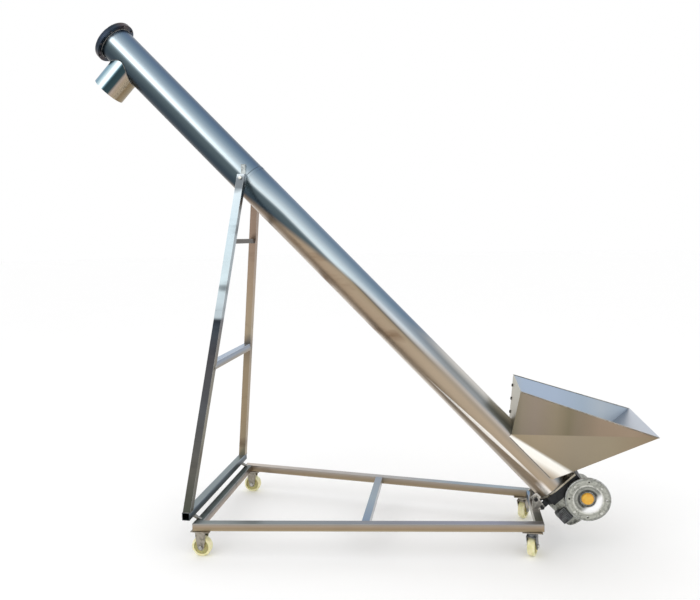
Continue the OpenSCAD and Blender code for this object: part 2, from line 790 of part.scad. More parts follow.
// Flight between two steps of the helix
module flight(first, last) {
    inner = (shaft_r + run_fit) / cos(180 / steps_per_turn);
    section = [[inner, 0], [flight_r, 0], [flight_r, flight_t], [inner, flight_t]];
    points = [for (k = [first : last]) let(a = k * 360 / steps_per_turn, v = k * flight_pitch / steps_per_turn)
        for (c = section) [c[0] * cos(a), c[0] * sin(a), flight_start + v + c[1]]];
    count = last - first;
    walls = [for (k = [0 : count - 1], j = [0 : 3]) let(a = 4 * k + j, b = 4 * k + (j + 1) % 4)
        each [[a, b, b + 4], [a, b + 4, a + 4]]];
    end = 4 * count;
    ends = [[0, 3, 2, 1], [end, end + 1, end + 2, end + 3]];
    color("#9a9b9a") auger_place() polyhedron(points, concat(walls, ends));
}

// The flight is made in three sections, so that the ones at the hopper and the spout can be changed
module flight_inlet() flight(0, inlet_steps);
module flight_middle() flight(inlet_steps, outlet_steps);
module flight_outlet() flight(outlet_steps, flight_steps);

// ---------------------------------------------------------------- gearbox

cover_t = 8;
module worm_place() translate([gear_centres, 0, gear_mid]) rotate([-90, 0, 0]) children();

module gearbox_housing() {
    neck = 96;
    color("#a3a39b") auger_place() difference() {
        union() {
            translate([0, 0, gear_back + cover_t]) cylinder(r = drum_r, h = gear_w - cover_t - fix_fit);
            translate([0, -neck / 2, gear_back + 22]) cube([gear_centres, neck, gear_w - 30]);
            worm_place() translate([0, 0, motor_seat])
                cylinder(r = worm_case_r, h = worm_case_back - motor_seat);
        }
        translate([0, 0, gear_back - over]) cylinder(r = drum_r - drum_wall, h = gear_w - 14);
        translate([0, 0, gear_back - over]) cylinder(r = journal_r + bore_clear, h = gear_w + 2 * over);
        worm_place() translate([0, 0, motor_seat - over])
            cylinder(r = worm_bearing_r + fix_fit, h = worm_case_back - motor_seat - 8 + over);
    }
}

module gearbox_cover() {
    color("#b5b5ae") auger_place() translate([0, 0, gear_back]) difference() {
        union() {
            cylinder(r = drum_r + 3, h = cover_t - fix_fit);
            translate([0, 0, -10]) cylinder(r = 40, h = 10 + over);
        }
        translate([0, 0, -4]) cylinder(r = journal_r + run_fit, h = cover_t + 4 + over);
        translate([0, 0, -over - 10]) cylinder(r = journal_r - 4, h = 20);
    }
}

// Cast block with cooling ribs under the drum
module cooling_ribs() {
    rib = 4;
    gap = 8;
    v0 = gear_mid - 34;
    len = 66;
    color("#6e6f6c") auger_place() difference() {
        translate([-82, -96, v0]) cube([60, 40, len]);
        translate([0, 0, gear_back - 20]) cylinder(r = drum_r + seat, h = gear_w + 40);
        for (k = [0 : floor(len / gap) - 1])
            translate([-90, -100, v0 + rib + k * gap]) cube([80, 10, gap - rib]);
    }
}

module motor_hole_places(offset)
    for (k = [0 : 3]) rotate(offset + 90 * k) translate([motor_pcd / 2, 0, 0]) children();

module motor_flange_place()
    auger_place() translate([gear_centres, motor_seat, gear_mid]) rotate([90, 0, 0]) children();

module motor_flange() {
    r = motor_flange_r;
    t = motor_flange_t;
    profile = [[spigot_d / 2, 0], [r - 3, 0], [r, 3], [r, t - 2], [r - 2, t], [spigot_d / 2, t]];
    color("#a9a99f") motor_flange_place() difference() {
        rotate_extrude() polygon(profile);
        motor_hole_places(45) translate([0, 0, -over]) cylinder(d = motor_hole_d, h = t + 2 * over);
        motor_hole_places(0) translate([0, 0, -over]) cylinder(r = 4 + fix_fit, h = t + 2 * over);
    }
}

// Plate round the input bore, sunk in the motor flange to make its centring recess
module spigot_plate() {
    recess = 6;
    color("#a9a99f") motor_flange_place() difference() {
        cylinder(r = spigot_d / 2 - fix_fit, h = motor_flange_t - recess);
        translate([0, 0, -over]) cylinder(d = input_bore_d, h = motor_flange_t);
    }
}

module flange_screws() {
    color("#c9c9c4") motor_flange_place() motor_hole_places(0) {
        cylinder(r = 4, h = motor_flange_t + 1);
        translate([0, 0, motor_flange_t]) hex_head(13, 5);
    }
}

// Toothed wheel keyed to the screw's journal
module worm_wheel() {
    teeth = 30;
    face = 44;
    depth = 6;
    outline = [for (k = [0 : teeth - 1], e = [[depth, -0.3], [0, -0.15], [0, 0.15], [depth, 0.3]])
        let (a = (k + 0.5 + e[1]) * 360 / teeth) (wheel_tip - 1 - e[0]) * [cos(a), sin(a)]];
    color("#b28f4a") auger_place() translate([0, 0, gear_mid]) difference() {
        union() {
            translate([0, 0, -face / 2]) linear_extrude(face) polygon(outline);
            cylinder(r = 34, h = 110, center = true);
        }
        cylinder(r = journal_r + fix_fit, h = 130, center = true);
        translate([0, -5 - fix_fit, -35]) cube([journal_r + 4, 10 + 2 * fix_fit, 70]);
    }
}

module drive_key() {
    color("#77787a") auger_place() translate([journal_r - 5 + fix_fit, -5, gear_mid - 30])
        cube([8, 10, 60]);
}

module worm_shaft() {
    ring = 7;
    color("#8b8c8c") auger_place() worm_place() {
        translate([0, 0, motor_seat + 4])
            cylinder(r = worm_journal_r, h = worm_case_back - motor_seat - 18);
        translate([0, 0, -40]) cylinder(r = worm_crest - 5, h = 80);
        for (k = [-2 : 2]) translate([0, 0, k * 2 * ring - ring / 2]) cylinder(r = worm_crest, h = ring);
    }
}

module worm_bearings() {
    t = 18;
    color("#c8c9c8") auger_place() worm_place() for (v = [motor_seat + 12, worm_case_back - 8 - t - 2])
        translate([0, 0, v]) difference() {
            cylinder(r = worm_bearing_r, h = t);
            translate([0, 0, -over]) cylinder(r = worm_journal_r + run_fit, h = t + 2 * over);
        }
}

// Yellow transport plug in the mouth of the input bore
module bore_cap() {
    cap_r = 27;
    color("#e8b53c") auger_place() worm_place() translate([0, 0, motor_seat - 8]) {
        cylinder(r = cap_r, h = 5);
        translate([0, 0, 4]) cylinder(r = worm_bearing_r - seat, h = 12 - 4);
    }
}

module housing_plug() {
    color("#3b3c3e") auger_place() translate([gear_centres + worm_case_r + fix_fit, -30, gear_mid])
        rotate([0, 90, 0]) {
            cylinder(r = 7, h = 4);
            translate([0, 0, 3]) hex_head(14, 7);
        }
}

base_rail_front();
base_rail_rear();
cross_rail_wide();
cross_rail_mid();
cross_rail_narrow();
rail_end_caps();
caster_plates();
caster_bolts();
fork_wide_front();
fork_wide_rear();
fork_narrow_front();
fork_narrow_rear();
wheel_wide_front();
wheel_wide_rear();
wheel_narrow_front();
wheel_narrow_rear();
axle_wide_front();
axle_wide_rear();
axle_narrow_front();
axle_narrow_rear();
support_foot_bar();
support_foot_tabs();
support_leg_front();
support_leg_rear();
support_mid_bar();
support_upper_bar();
ear_front();
ear_rear();
ear_bolts();
tube_lower();
tube_upper();
seam_sleeve();
discharge_spout();
top_flange();
top_cap();
cap_bolts();
top_bearing();
hopper();
hopper_rivets();
tube_end_plate();
adaptor_block();
shaft_seal();
foot_bracket();
tube_lug();
adaptor_lug();
foot_pins();
screw_shaft();
flight_inlet();
flight_middle();
flight_outlet();
gearbox_housing();
gearbox_cover();
cooling_ribs();
motor_flange();
spigot_plate();
flange_screws();
worm_wheel();
worm_shaft();
worm_bearings();
bore_cap();
housing_plug();
drive_key();
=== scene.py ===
"""Grain auger: finishes, weld beads, trim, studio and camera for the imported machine."""

import json
import math

import bmesh
import bpy
from bpy.props import FloatProperty, FloatVectorProperty, IntProperty, PointerProperty
from mathutils import Matrix, Vector


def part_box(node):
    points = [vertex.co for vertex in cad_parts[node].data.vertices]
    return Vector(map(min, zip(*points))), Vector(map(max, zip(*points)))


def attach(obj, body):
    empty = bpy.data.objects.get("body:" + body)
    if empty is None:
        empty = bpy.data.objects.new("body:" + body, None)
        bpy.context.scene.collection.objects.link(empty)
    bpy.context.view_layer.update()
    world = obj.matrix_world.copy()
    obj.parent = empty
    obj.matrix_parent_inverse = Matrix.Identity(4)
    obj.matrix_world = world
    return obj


bl_info = {
    "name": "Grain Auger",
    "version": (1, 0, 0),
    "blender": (4, 5, 0),
    "location": "3D View > Sidebar > Auger",
    "description": "Finishes and trim of a mobile inclined grain auger",
    "category": "Add Mesh",
}

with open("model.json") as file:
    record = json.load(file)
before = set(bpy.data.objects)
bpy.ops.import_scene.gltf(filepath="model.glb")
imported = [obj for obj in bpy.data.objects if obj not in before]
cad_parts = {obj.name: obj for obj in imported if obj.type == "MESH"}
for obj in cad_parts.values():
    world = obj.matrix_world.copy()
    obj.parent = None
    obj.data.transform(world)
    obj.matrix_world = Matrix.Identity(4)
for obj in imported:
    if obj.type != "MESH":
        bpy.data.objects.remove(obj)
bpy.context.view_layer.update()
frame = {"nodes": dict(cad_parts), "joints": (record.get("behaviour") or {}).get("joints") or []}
NODES = frame["nodes"]
JOINTS = {joint["name"]: joint for joint in frame["joints"]}

# The tube's foot, its axis pointing up the tube, and the direction of its crown
FOOT = Vector(JOINTS["screw_spin"]["pos_m"])
AXIS = Vector(JOINTS["screw_spin"]["axis"]).normalized()
CROWN = Vector((AXIS.z, 0, -AXIS.x))
SIDE = Vector((0, 1, 0))
TUBE_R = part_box("tube_lower")[1].y
INCLINE = math.atan2(AXIS.z, -AXIS.x)
# How far a grain is drawn out along the tube, and the turn that lays it there
ALONG_TUBE = ((0.08, 1, 1), (0, INCLINE, 0))

# Distances up the tube: the joint's dark line, the middle of the spout and the bead under the flange
JOINT_UP = 2.2985
SPOUT_UP = 3.222
FLANGE_BEAD_UP = 3.3638
# The throat's half width, how far a bead's middle stands off the sheet, and the steps round a ring
THROAT_HALF = 0.088
BEAD_LIFT = 0.0012
RING_STEPS = 72
# The square tube's side, and how much the side rails close in for each metre along
BAR = 0.04
RAIL_SLOPE = 0.12
# Heights between which the legs' painted reflection bands run
LEG_LOW, LEG_HIGH = 0.24, 1.96
# The hopper's painted reflection colours run between these distances along the machine
HOPPER_SPAN = (0.8, 1.46)

# Where the camera stands, its turns and its film
CAMERA_PLACE = (0.492639, -3.3511, 1.6131)
CAMERA_YAW, CAMERA_PITCH, CAMERA_ROLL = -0.1623, 0.0984, -0.0171
SENSOR = 36.0
# What the soft boxes point at
LIGHT_AIM = (0.1, 0.0, 1.0)


def linear(colour):
    """A hex colour as linear red, green, blue and alpha."""
    if not isinstance(colour, str):
        return (*colour[:3], 1.0)
    out = []
    for k in (0, 2, 4):
        c = int(colour[k : k + 2], 16) / 255
        out.append(c / 12.92 if c <= 0.04045 else ((c + 0.055) / 1.055) ** 2.4)
    return (*out, 1.0)


# ------------------------------------------------------------------ sizes and colours


def colour_property(name, description, colour):
    return FloatVectorProperty(
        name=name, description=description, subtype="COLOR", size=3, min=0, max=1, default=linear(colour)[:3]
    )


def length_property(name, description, default):
    return FloatProperty(name=name, description=description, default=default, min=0, soft_max=1,
                         unit="LENGTH", subtype="DISTANCE")


class AugerStageSettings(bpy.types.PropertyGroup):
    world_colour: colour_property("World colour", "Soft light from every side", "ffffff")
    world_strength: FloatProperty(name="World strength", description="Brightness of the soft light",
                                  default=1.0, min=0)
    floor_colour: colour_property("Floor colour", "Pale studio floor", "ffffff")
    floor_radius: length_property("Floor radius", "Half width of the floor", 60.0)
    key_power: FloatProperty(name="Key power", description="Soft box at the left front", default=45.0, min=0,
                             unit="POWER")
    fill_power: FloatProperty(name="Fill power", description="Soft box at the right", default=15.0, min=0,
                              unit="POWER")
    lens: FloatProperty(name="Lens", description="Focal length of the camera", default=32.36, min=1,
                        unit="CAMERA")


class AugerSteelSettings(bpy.types.PropertyGroup):
    # The first five colours are painted reflections on the polished tube: painted sky reflection at the
    # crown, a painted highlight line, painted shade underneath and painted tan ground reflection
    sky_edge: colour_property("Sky edge", "Steel along the tube's crown", "556c87")
    sky: colour_property("Sky", "Steel that faces the sky", "8ea2ba")
    highlight: colour_property("Highlight", "Bright line along the tube", "d3e3ea")
    shade: colour_property("Shade", "Dark underside of the upper tube", "2a3843")
    ground: colour_property("Ground", "Steel that faces the ground", "a6957e")
    roughness: FloatProperty(name="Roughness", description="Of the polished tube", default=0.3, min=0, max=1)
    brush: FloatProperty(name="Brushing", description="Strength of the brushed grain", default=0.05, min=0,
                         max=1)
    wear: FloatProperty(name="Edge wear", description="How bright the worn edges are", default=0.55, min=0,
                        max=1)


class AugerFittingSettings(bpy.types.PropertyGroup):
    wheel_colour: colour_property("Wheel", "Cast nylon of the wheels", "efe9bf")
    casting_colour: colour_property("Casting", "Aluminium of the gearbox", "a3a49c")
    block_colour: colour_property("Block", "Black adaptor block", "252628")
    plug_colour: colour_property("Bore plug", "Yellow plug in the input bore", "dfae3e")
    zinc_colour: colour_property("Zinc", "Plated forks and plates", "a39c90")


class AugerTrimSettings(bpy.types.PropertyGroup):
    bead: length_property("Weld bead", "Radius of a weld bead", 0.0022)
    ripple: length_property("Weld ripple", "Distance between two ripples of a bead", 0.004)
    hem: length_property("Rim hem", "Radius of the hem on the hopper's rim", 0.0025)
    softening: length_property("Edge softening", "Rounding of the square tubes' edges", 0.0025)
    bead_sides: IntProperty(name="Bead sides", description="Facets round a bead", default=8, min=4, max=24)


# ------------------------------------------------------------------ finishes


class Finish:
    """One finish and the nodes that make it."""

    def __init__(self, name, metallic=1.0, roughness=0.35):
        self.mat = bpy.data.materials.new(name)
        self.mat.use_nodes = True
        self.tree = self.mat.node_tree
        self.tree.nodes.clear()
        self.shader = self.tree.nodes.new("ShaderNodeBsdfPrincipled")
        out = self.tree.nodes.new("ShaderNodeOutputMaterial")
        self.tree.links.new(self.shader.outputs[0], out.inputs["Surface"])
        self.shader.inputs["Metallic"].default_value = metallic
        self.roughness = roughness
        coord = self.tree.nodes.new("ShaderNodeTexCoord")
        self.place = coord.outputs["Object"]
        self.normal = coord.outputs["Normal"]

    def put(self, socket, value):
        if isinstance(value, bpy.types.NodeSocket):
            self.tree.links.new(value, socket)
        else:
            socket.default_value = value

    def math(self, operation, a, b=0.0, c=0.0, clamp=False):
        n = self.tree.nodes.new("ShaderNodeMath")
        n.operation = operation
        n.use_clamp = clamp
        for socket, value in zip(n.inputs, (a, b, c)):
            self.put(socket, value)
        return n.outputs[0]

    def dot(self, vector, direction):
        n = self.tree.nodes.new("ShaderNodeVectorMath")
        n.operation = "DOT_PRODUCT"
        self.put(n.inputs[0], vector)
        n.inputs[1].default_value = tuple(direction)
        return n.outputs["Value"]

    def span(self, value, low, high, smooth=True):
        n = self.tree.nodes.new("ShaderNodeMapRange")
        n.interpolation_type = "SMOOTHSTEP" if smooth else "LINEAR"
        self.put(n.inputs["Value"], value)
        n.inputs["From Min"].default_value = low
        n.inputs["From Max"].default_value = high
        return n.outputs["Result"]

    def ramp(self, value, low, high, stops):
        """Colours along a value: stops are (value, colour), in rising order."""
        n = self.tree.nodes.new("ShaderNodeValToRGB")
        n.color_ramp.interpolation = "LINEAR"
        self.put(n.inputs[0], self.span(value, low, high, smooth=False))
        points = n.color_ramp.elements
        while len(points) > 1:
            points.remove(points[-1])
        for k, (at, colour) in enumerate(stops):
            point = points[0] if k == 0 else points.new((at - low) / (high - low))
            point.position = (at - low) / (high - low)
            point.color = linear(colour)
        return n.outputs["Color"]

    def mix(self, factor, a, b, blend="MIX"):
        n = self.tree.nodes.new("ShaderNodeMix")
        n.data_type = "RGBA"
        n.blend_type = blend
        self.put(n.inputs[0], factor)
        for socket, value in ((n.inputs[6], a), (n.inputs[7], b)):
            self.put(socket, value if isinstance(value, bpy.types.NodeSocket) else linear(value))
        return n.outputs[2]

    def noise(self, scale, stretch=(1, 1, 1), detail=3.0, turn=(0, 0, 0), distortion=0.0):
        m = self.tree.nodes.new("ShaderNodeMapping")
        self.put(m.inputs["Vector"], self.place)
        m.inputs["Rotation"].default_value = turn
        m.inputs["Scale"].default_value = stretch
        n = self.tree.nodes.new("ShaderNodeTexNoise")
        self.put(n.inputs["Vector"], m.outputs[0])
        n.inputs["Scale"].default_value = scale
        n.inputs["Detail"].default_value = detail
        n.inputs["Distortion"].default_value = distortion
        return n.outputs["Fac"]

    def edges(self, radius=0.0025):
        """One on sharp edges and nothing on flat metal."""
        b = self.tree.nodes.new("ShaderNodeBevel")
        b.samples = 4
        b.inputs["Radius"].default_value = radius
        g = self.tree.nodes.new("ShaderNodeNewGeometry")
        n = self.tree.nodes.new("ShaderNodeVectorMath")
        n.operation = "DOT_PRODUCT"
        self.put(n.inputs[0], b.outputs[0])
        self.put(n.inputs[1], g.outputs["Normal"])
        return self.span(n.outputs["Value"], 0.995, 0.9)

    def done(self, colour, spread=0.12, grain=(60, (1, 1, 1), (0, 0, 0)), bump=0.05, rough=0.1, wear=0.5,
             wear_colour="e4e6e4", patch=3.0, edge=0.0025):
        """Adds cloudy variation, grain, worn edges, bump and uneven gloss to a painted colour."""
        cloud = self.noise(patch, detail=5.0, distortion=0.6)
        scale, stretch, turn = grain
        fine = self.noise(scale, stretch, 4.0, turn)
        light = self.math("MULTIPLY_ADD", self.math("SUBTRACT", cloud, 0.5), 2 * spread, 1.0)
        light = self.math("MULTIPLY_ADD", self.math("SUBTRACT", fine, 0.5), spread, light)
        grey = self.tree.nodes.new("ShaderNodeCombineColor")
        for socket in grey.inputs:
            self.put(socket, light)
        colour = self.mix(1.0, colour, grey.outputs[0], "MULTIPLY")
        if wear:
            worn = self.math("MULTIPLY", self.edges(edge), self.span(cloud, 0.3, 0.62))
            colour = self.mix(self.math("MULTIPLY", worn, wear), colour, wear_colour)
        self.put(self.shader.inputs["Base Color"], colour)
        gloss = self.math("MULTIPLY_ADD", self.math("SUBTRACT", fine, 0.5), rough, self.roughness)
        gloss = self.math("MULTIPLY_ADD", self.math("SUBTRACT", cloud, 0.5), rough, gloss, clamp=True)
        self.put(self.shader.inputs["Roughness"], gloss)
        b = self.tree.nodes.new("ShaderNodeBump")
        b.inputs["Strength"].default_value = bump
        b.inputs["Distance"].default_value = 0.001
        self.put(b.inputs["Height"], fine)
        self.put(self.shader.inputs["Normal"], b.outputs[0])
        return self.mat


def dress(material, *names):
    """Gives CAD nodes one finish."""
    for name in names:
        slots = NODES[name].data.materials
        slots.clear()
        slots.append(material)
        for face in NODES[name].data.polygons:
            face.material_index = 0


def soften(*names, width=None, angle=35):
    """Rounds the edges of CAD nodes."""
    width = width or bpy.context.scene.auger_trim.softening
    for name in names:
        weld = NODES[name].modifiers.new("Join", "WELD")
        weld.merge_threshold = 0.00001
        bevel = NODES[name].modifiers.new("Soft edges", "BEVEL")
        bevel.width = width
        bevel.segments = 3
        bevel.limit_method = "ANGLE"
        bevel.angle_limit = math.radians(angle)
        bevel.harden_normals = True


def tube_finish(steel):
    """Polished round tube with painted reflections: painted sky reflection along its crown, painted ground
    reflection and painted shade below, and painted highlight lines.
    """
    f = Finish("tube_steel_shell", 1.0, steel.roughness)
    turn = f.dot(f.normal, CROWN)
    up = f.math("SUBTRACT", f.dot(f.place, AXIS), FOOT.dot(AXIS))
    wave = f.math("MULTIPLY_ADD", f.noise(1.6, (0.6, 1, 0.6), 2.0), 0.08, -0.04)
    low = f.span(up, 2.33, 2.0)
    around = f.math("ADD", f.math("MULTIPLY_ADD", low, -0.14, turn), wave)
    # Upper tube: painted reflection running from painted shade on the underside through a painted highlight
    # to painted sky reflection at the crown
    sky = [(0.06, "cfdade"), (0.16, steel.highlight), (0.3, "bccad2"), (0.5, "93a5b3"), (0.7, "6f8598"),
           (0.88, steel.sky_edge), (1.0, "43596f")]
    shaded = f.ramp(around, -1, 1, [(-1.0, "2c3844"), (-0.9, "1c2731"), (-0.72, steel.shade),
                                    (-0.5, "39464f"), (-0.3, "4b585e"), (-0.1, "546166"), (-0.02, "7d8a91"),
                                    *sky])
    # Lower tube: painted sky reflection on its upper side
    lower_sky_reflection = [(0.12, "8b8a86"), (0.2, "c2c5c8"), (0.3, "c3ccd2"), (0.42, "9fabb5"), (0.58, "8795a4"),
                (0.75, "6f7e8d"), (0.9, "67737f"), (1.0, "7b858d")]
    # Lower tube: painted tan ground reflection on its underside
    ground_reflection = f.ramp(around, -1, 1, [(-1.0, "c0b5a8"), (-0.88, "96887a"), (-0.75, "7f705f"), (-0.55, "9f8c76"),
                                    (-0.3, "a5937d"), (-0.1, steel.ground), (0.03, "95866f"),
                                    (0.07, "6d665c"), *lower_sky_reflection])
    # Near the foot the painted reflections turn duller
    foot_reflection = f.ramp(around, -1, 1, [(-1.0, "c9beb0"), (-0.85, "8d7f70"), (-0.7, "8f806d"), (-0.4, "aa9984"),
                                  (-0.1, "ac9b86"), (0.1, "a39685"), (0.25, "a9a097"), (0.4, "7f8386"),
                                  (0.6, "85898a"), (0.8, "c5c2bd"), (1.0, "b1aca5")])
    stain = f.noise(9.0, (0.25, 1, 1), 4.0, (0, INCLINE, 0))
    ground_reflection = f.mix(f.math("MULTIPLY", f.span(stain, 0.52, 0.75), f.span(around, 0.0, -0.2)), ground_reflection, "7c6650")
    ground_reflection = f.mix(f.span(up, 1.25, 0.75), ground_reflection, foot_reflection)
    # Where the lower tube's painted ground reflection gives way to the upper tube's painted reflection and
    # shade
    reach = f.math("SUBTRACT", up, f.math("MULTIPLY_ADD", turn, -0.7, 1.68))
    colour = f.mix(f.span(reach, -0.1, 0.16), ground_reflection, shaded)
    # A painted highlight stripe along the lower tube
    centre = f.math("MULTIPLY_ADD", up, -0.55, -0.16)
    width = f.math("MULTIPLY_ADD", f.math("ABSOLUTE", f.math("SUBTRACT", up, 0.43)), -0.3, 0.15)
    off = f.math("DIVIDE", f.math("ABSOLUTE", f.math("SUBTRACT", turn, centre)),
                 f.math("MAXIMUM", width, 0.01))
    highlight_stripe = f.math("MULTIPLY", f.span(off, 1.0, 0.45),
                    f.math("MULTIPLY", f.span(up, 0.02, 0.3), f.span(up, 0.95, 0.6)))
    colour = f.mix(highlight_stripe, colour, "fffaf2")
    glare = f.math("MULTIPLY", f.span(up, 0.1, 0.04), f.span(f.math("ABSOLUTE", f.math("ADD", turn, 0.3)),
                                                             0.26, 0.1))
    colour = f.mix(glare, colour, "fdf6ee")
    collar = f.math("ABSOLUTE", f.math("SUBTRACT", up, JOINT_UP))
    colour = f.mix(f.math("MULTIPLY", f.span(collar, 0.0028, 0.0012), 0.8), colour, "23303c")
    stretch, spin = ALONG_TUBE
    return f.done(colour, 0.05, grain=(70, stretch, spin), bump=steel.brush, rough=0.08, wear=steel.wear,
                  patch=1.5)


def spout_finish():
    """Round spout seen from the side, in painted reflection bands: painted bluish sky reflection and a
    painted highlight towards the cap, a painted dark band, and painted tan ground reflection towards the
    foot.
    """
    f = Finish("spout_steel", 1.0, 0.28)
    across = f.dot(f.normal, AXIS)
    colour = f.ramp(across, -1, 1, [(-1.0, "8a7c64"), (-0.94, "85745a"), (-0.88, "b0a28b"), (-0.72, "a0907c"),
                                    (-0.6, "a39589"), (-0.53, "6d6a67"), (-0.49, "34474c"), (-0.2, "2c3f45"),
                                    (-0.12, "4f6a75"), (-0.04, "c0d3d9"), (0.2, "dbe9ed"), (0.36, "b5cdd5"),
                                    (0.52, "7ea3b5"), (0.8, "5b8199"), (1.0, "4b6d80")])
    inner = f.span(f.dot(f.normal, CROWN), -0.5, -0.9)
    colour = f.mix(inner, colour, "5c5f58")
    return f.done(colour, 0.06, grain=(60, (1, 1, 1), (0, 0, 0)), bump=0.04, rough=0.08, wear=0.4, patch=6)


def bar_finish(name, top, front, left=None, right=None, spread=0.1, patch=2.5, stains=None, rough=0.36,
               below="5e564c"):
    """Square tube in painted light: each face has its own painted light colour, and front, top and sides may
    be ramps of painted reflection over a direction; the underside gets a painted shade.
    """
    f = Finish(name, 1.0, rough)

    def face_light(paint):
        if isinstance(paint, tuple):
            direction, low, high, stops = paint
            return f.ramp(f.dot(f.place, direction), low, high, stops)
        return paint

    up = f.dot(f.normal, (0, 0, 1))
    across = f.dot(f.normal, (1, 0, 0))
    colour = f.mix(f.span(across, 0.35, 0.75), face_light(front), face_light(right or front))
    colour = f.mix(f.span(across, -0.35, -0.75), colour, face_light(left or front))
    colour = f.mix(f.span(up, 0.35, 0.75), colour, face_light(top))
    # Painted shade on the underside
    colour = f.mix(f.span(up, -0.5, -0.85), colour, below)
    if stains:
        mask = f.span(f.noise(7.0, (0.35, 1, 1), 4.0), 0.55, 0.72)
        colour = f.mix(f.math("MULTIPLY", mask, 0.75), colour, stains)
    return f.done(colour, spread, grain=(90, (0.12, 1, 1), (0, 0, 0)), bump=0.05, rough=0.12, wear=0.45,
                  patch=patch)


# Painted reflection bands up the front face of a base rail
def rail_front(z0):
    return ((0, 0, 1), z0, z0 + BAR, [(z0, "a89a82"), (z0 + 0.006, "a5957a"), (z0 + 0.012, "97866d"),
                                      (z0 + 0.02, "a18f79"), (z0 + 0.028, "a39586"), (z0 + 0.036, "98938c"),
                                      (z0 + BAR, "a9a8a4")])


def plain_finish(name, colour, metallic=0.9, roughness=0.4, dark=None, spread=0.15, grain=60, bump=0.1,
                 wear=0.5, wear_colour="d9d9d5", patch=8.0, rough=0.15, edge=0.0015):
    """Cast, plated or moulded finish of one colour with a darker cloud in it."""
    f = Finish(name, metallic, roughness)
    base = f.mix(f.span(f.noise(patch * 4, detail=6.0, distortion=1.0), 0.42, 0.66), colour,
                 dark) if dark else colour
    if not dark:
        base = f.mix(f.noise(patch * 2), colour, tuple(min(1.0, c * 0.8) for c in linear(colour)[:3]))
    return f.done(base, spread, grain=(grain, (1, 1, 1), (0, 0, 0)), bump=bump, rough=rough, wear=wear,
                  wear_colour=wear_colour, patch=patch, edge=edge)


# ------------------------------------------------------------------ mesh helpers


def sweep(name, points, radius, body, material, closed=False, ripple=0.0, sides=8):
    """A round bar along a line of points. With a ripple its radius swells and shrinks like a weld bead."""
    path = [Vector(p) for p in points]
    if ripple:
        fine = []
        pairs = list(zip(path, path[1:] + path[:1])) if closed else list(zip(path, path[1:]))
        for a, b in pairs:
            steps = max(1, round((b - a).length / (ripple / 2)))
            fine += [a.lerp(b, k / steps) for k in range(steps)]
        path = fine + ([] if closed else [path[-1]])
    count = len(path)
    bm = bmesh.new()
    rings = []
    up = None
    for k, p in enumerate(path):
        a = path[k - 1] if closed or k else p
        b = path[(k + 1) % count] if closed or k < count - 1 else p
        way = (b - a).normalized()
        if up is None:
            up = way.orthogonal().normalized()
        up = (up - way * up.dot(way)).normalized()
        out = way.cross(up)
        r = radius * ((1.0 if k % 2 else 0.78) if ripple else 1.0)
        rings.append([bm.verts.new(p + r * (math.cos(t) * up + math.sin(t) * out))
                      for t in (2 * math.pi * (s + 0.5) / sides for s in range(sides))])
    for k in range(count if closed else count - 1):
        a, b = rings[k], rings[(k + 1) % count]
        shift = 0
        if closed and k == count - 1:
            shift = min(range(sides), key=lambda s: (b[s].co - a[0].co).length)
        for s in range(sides):
            bm.faces.new((a[s], a[(s + 1) % sides], b[(s + 1 + shift) % sides], b[(s + shift) % sides]))
    if not closed:
        bm.faces.new(rings[0][::-1])
        bm.faces.new(rings[-1])
    return finish_mesh(name, bm, body, material)


def turned(name, profile, origin, axis, body, material, sides=40):
    """A ring or knob turned about an axis: profile is a closed loop of (radius, height)."""
    axis = Vector(axis).normalized()
    side = axis.orthogonal().normalized()
    other = axis.cross(side)
    bm = bmesh.new()
    rings = []
    for k in range(sides):
        t = 2 * math.pi * k / sides
        out = math.cos(t) * side + math.sin(t) * other
        rings.append([bm.verts.new(Vector(origin) + r * out + h * axis) for r, h in profile])
    n = len(profile)
    for k in range(sides):
        a, b = rings[k], rings[(k + 1) % sides]
        for s in range(n):
            bm.faces.new((a[s], b[s], b[(s + 1) % n], a[(s + 1) % n]))
    return finish_mesh(name, bm, body, material)


def finish_mesh(name, bm, body, material):
    bmesh.ops.remove_doubles(bm, verts=bm.verts, dist=1e-7)
    bmesh.ops.recalc_face_normals(bm, faces=bm.faces)
    mesh = bpy.data.meshes.new(name)
    bm.to_mesh(mesh)
    bm.free()
    mesh.materials.append(material)
    mesh.shade_smooth()
    piece = bpy.data.objects.new(name, mesh)
    bpy.context.scene.collection.objects.link(piece)
    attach(piece, body)
    return piece


def on_tube(up, turn, radius=TUBE_R):
    """Point on the tube: distance up the axis, angle from the crown towards the far side."""
    return FOOT + AXIS * up + radius * (math.cos(turn) * CROWN + math.sin(turn) * SIDE)


def shared(name, make):
    """The finish of that name, made once."""
    return bpy.data.materials.get(name) or make()


def weld_finish():
    return shared("weld_steel", lambda: plain_finish("weld_steel", "8d8b86", 1.0, 0.42, "5f5e5c", spread=0.2,
                                                     grain=200, bump=0.2, wear=0.0, patch=20))


# ------------------------------------------------------------------ operators


class AUGER_OT_tube(bpy.types.Operator):
    """Tube, spout, band at the joint and ears"""

    bl_idname = "auger.tube"
    bl_label = "Tube"

    def execute(self, context):
        steel = context.scene.auger_steel
        dress(tube_finish(steel), "tube_lower", "tube_upper", "seam_sleeve")
        dress(spout_finish(), "discharge_spout")
        dress(plain_finish("ear_steel", "c3c9c8", 1.0, 0.32, "8d9292", spread=0.1), "ear_front", "ear_rear")
        dress(plain_finish("ear_bolt_steel", "d8d8d2", 1.0, 0.28, "9a9a94", spread=0.12), "ear_bolts")
        soften("ear_front", "ear_rear", width=0.0012)
        return {"FINISHED"}


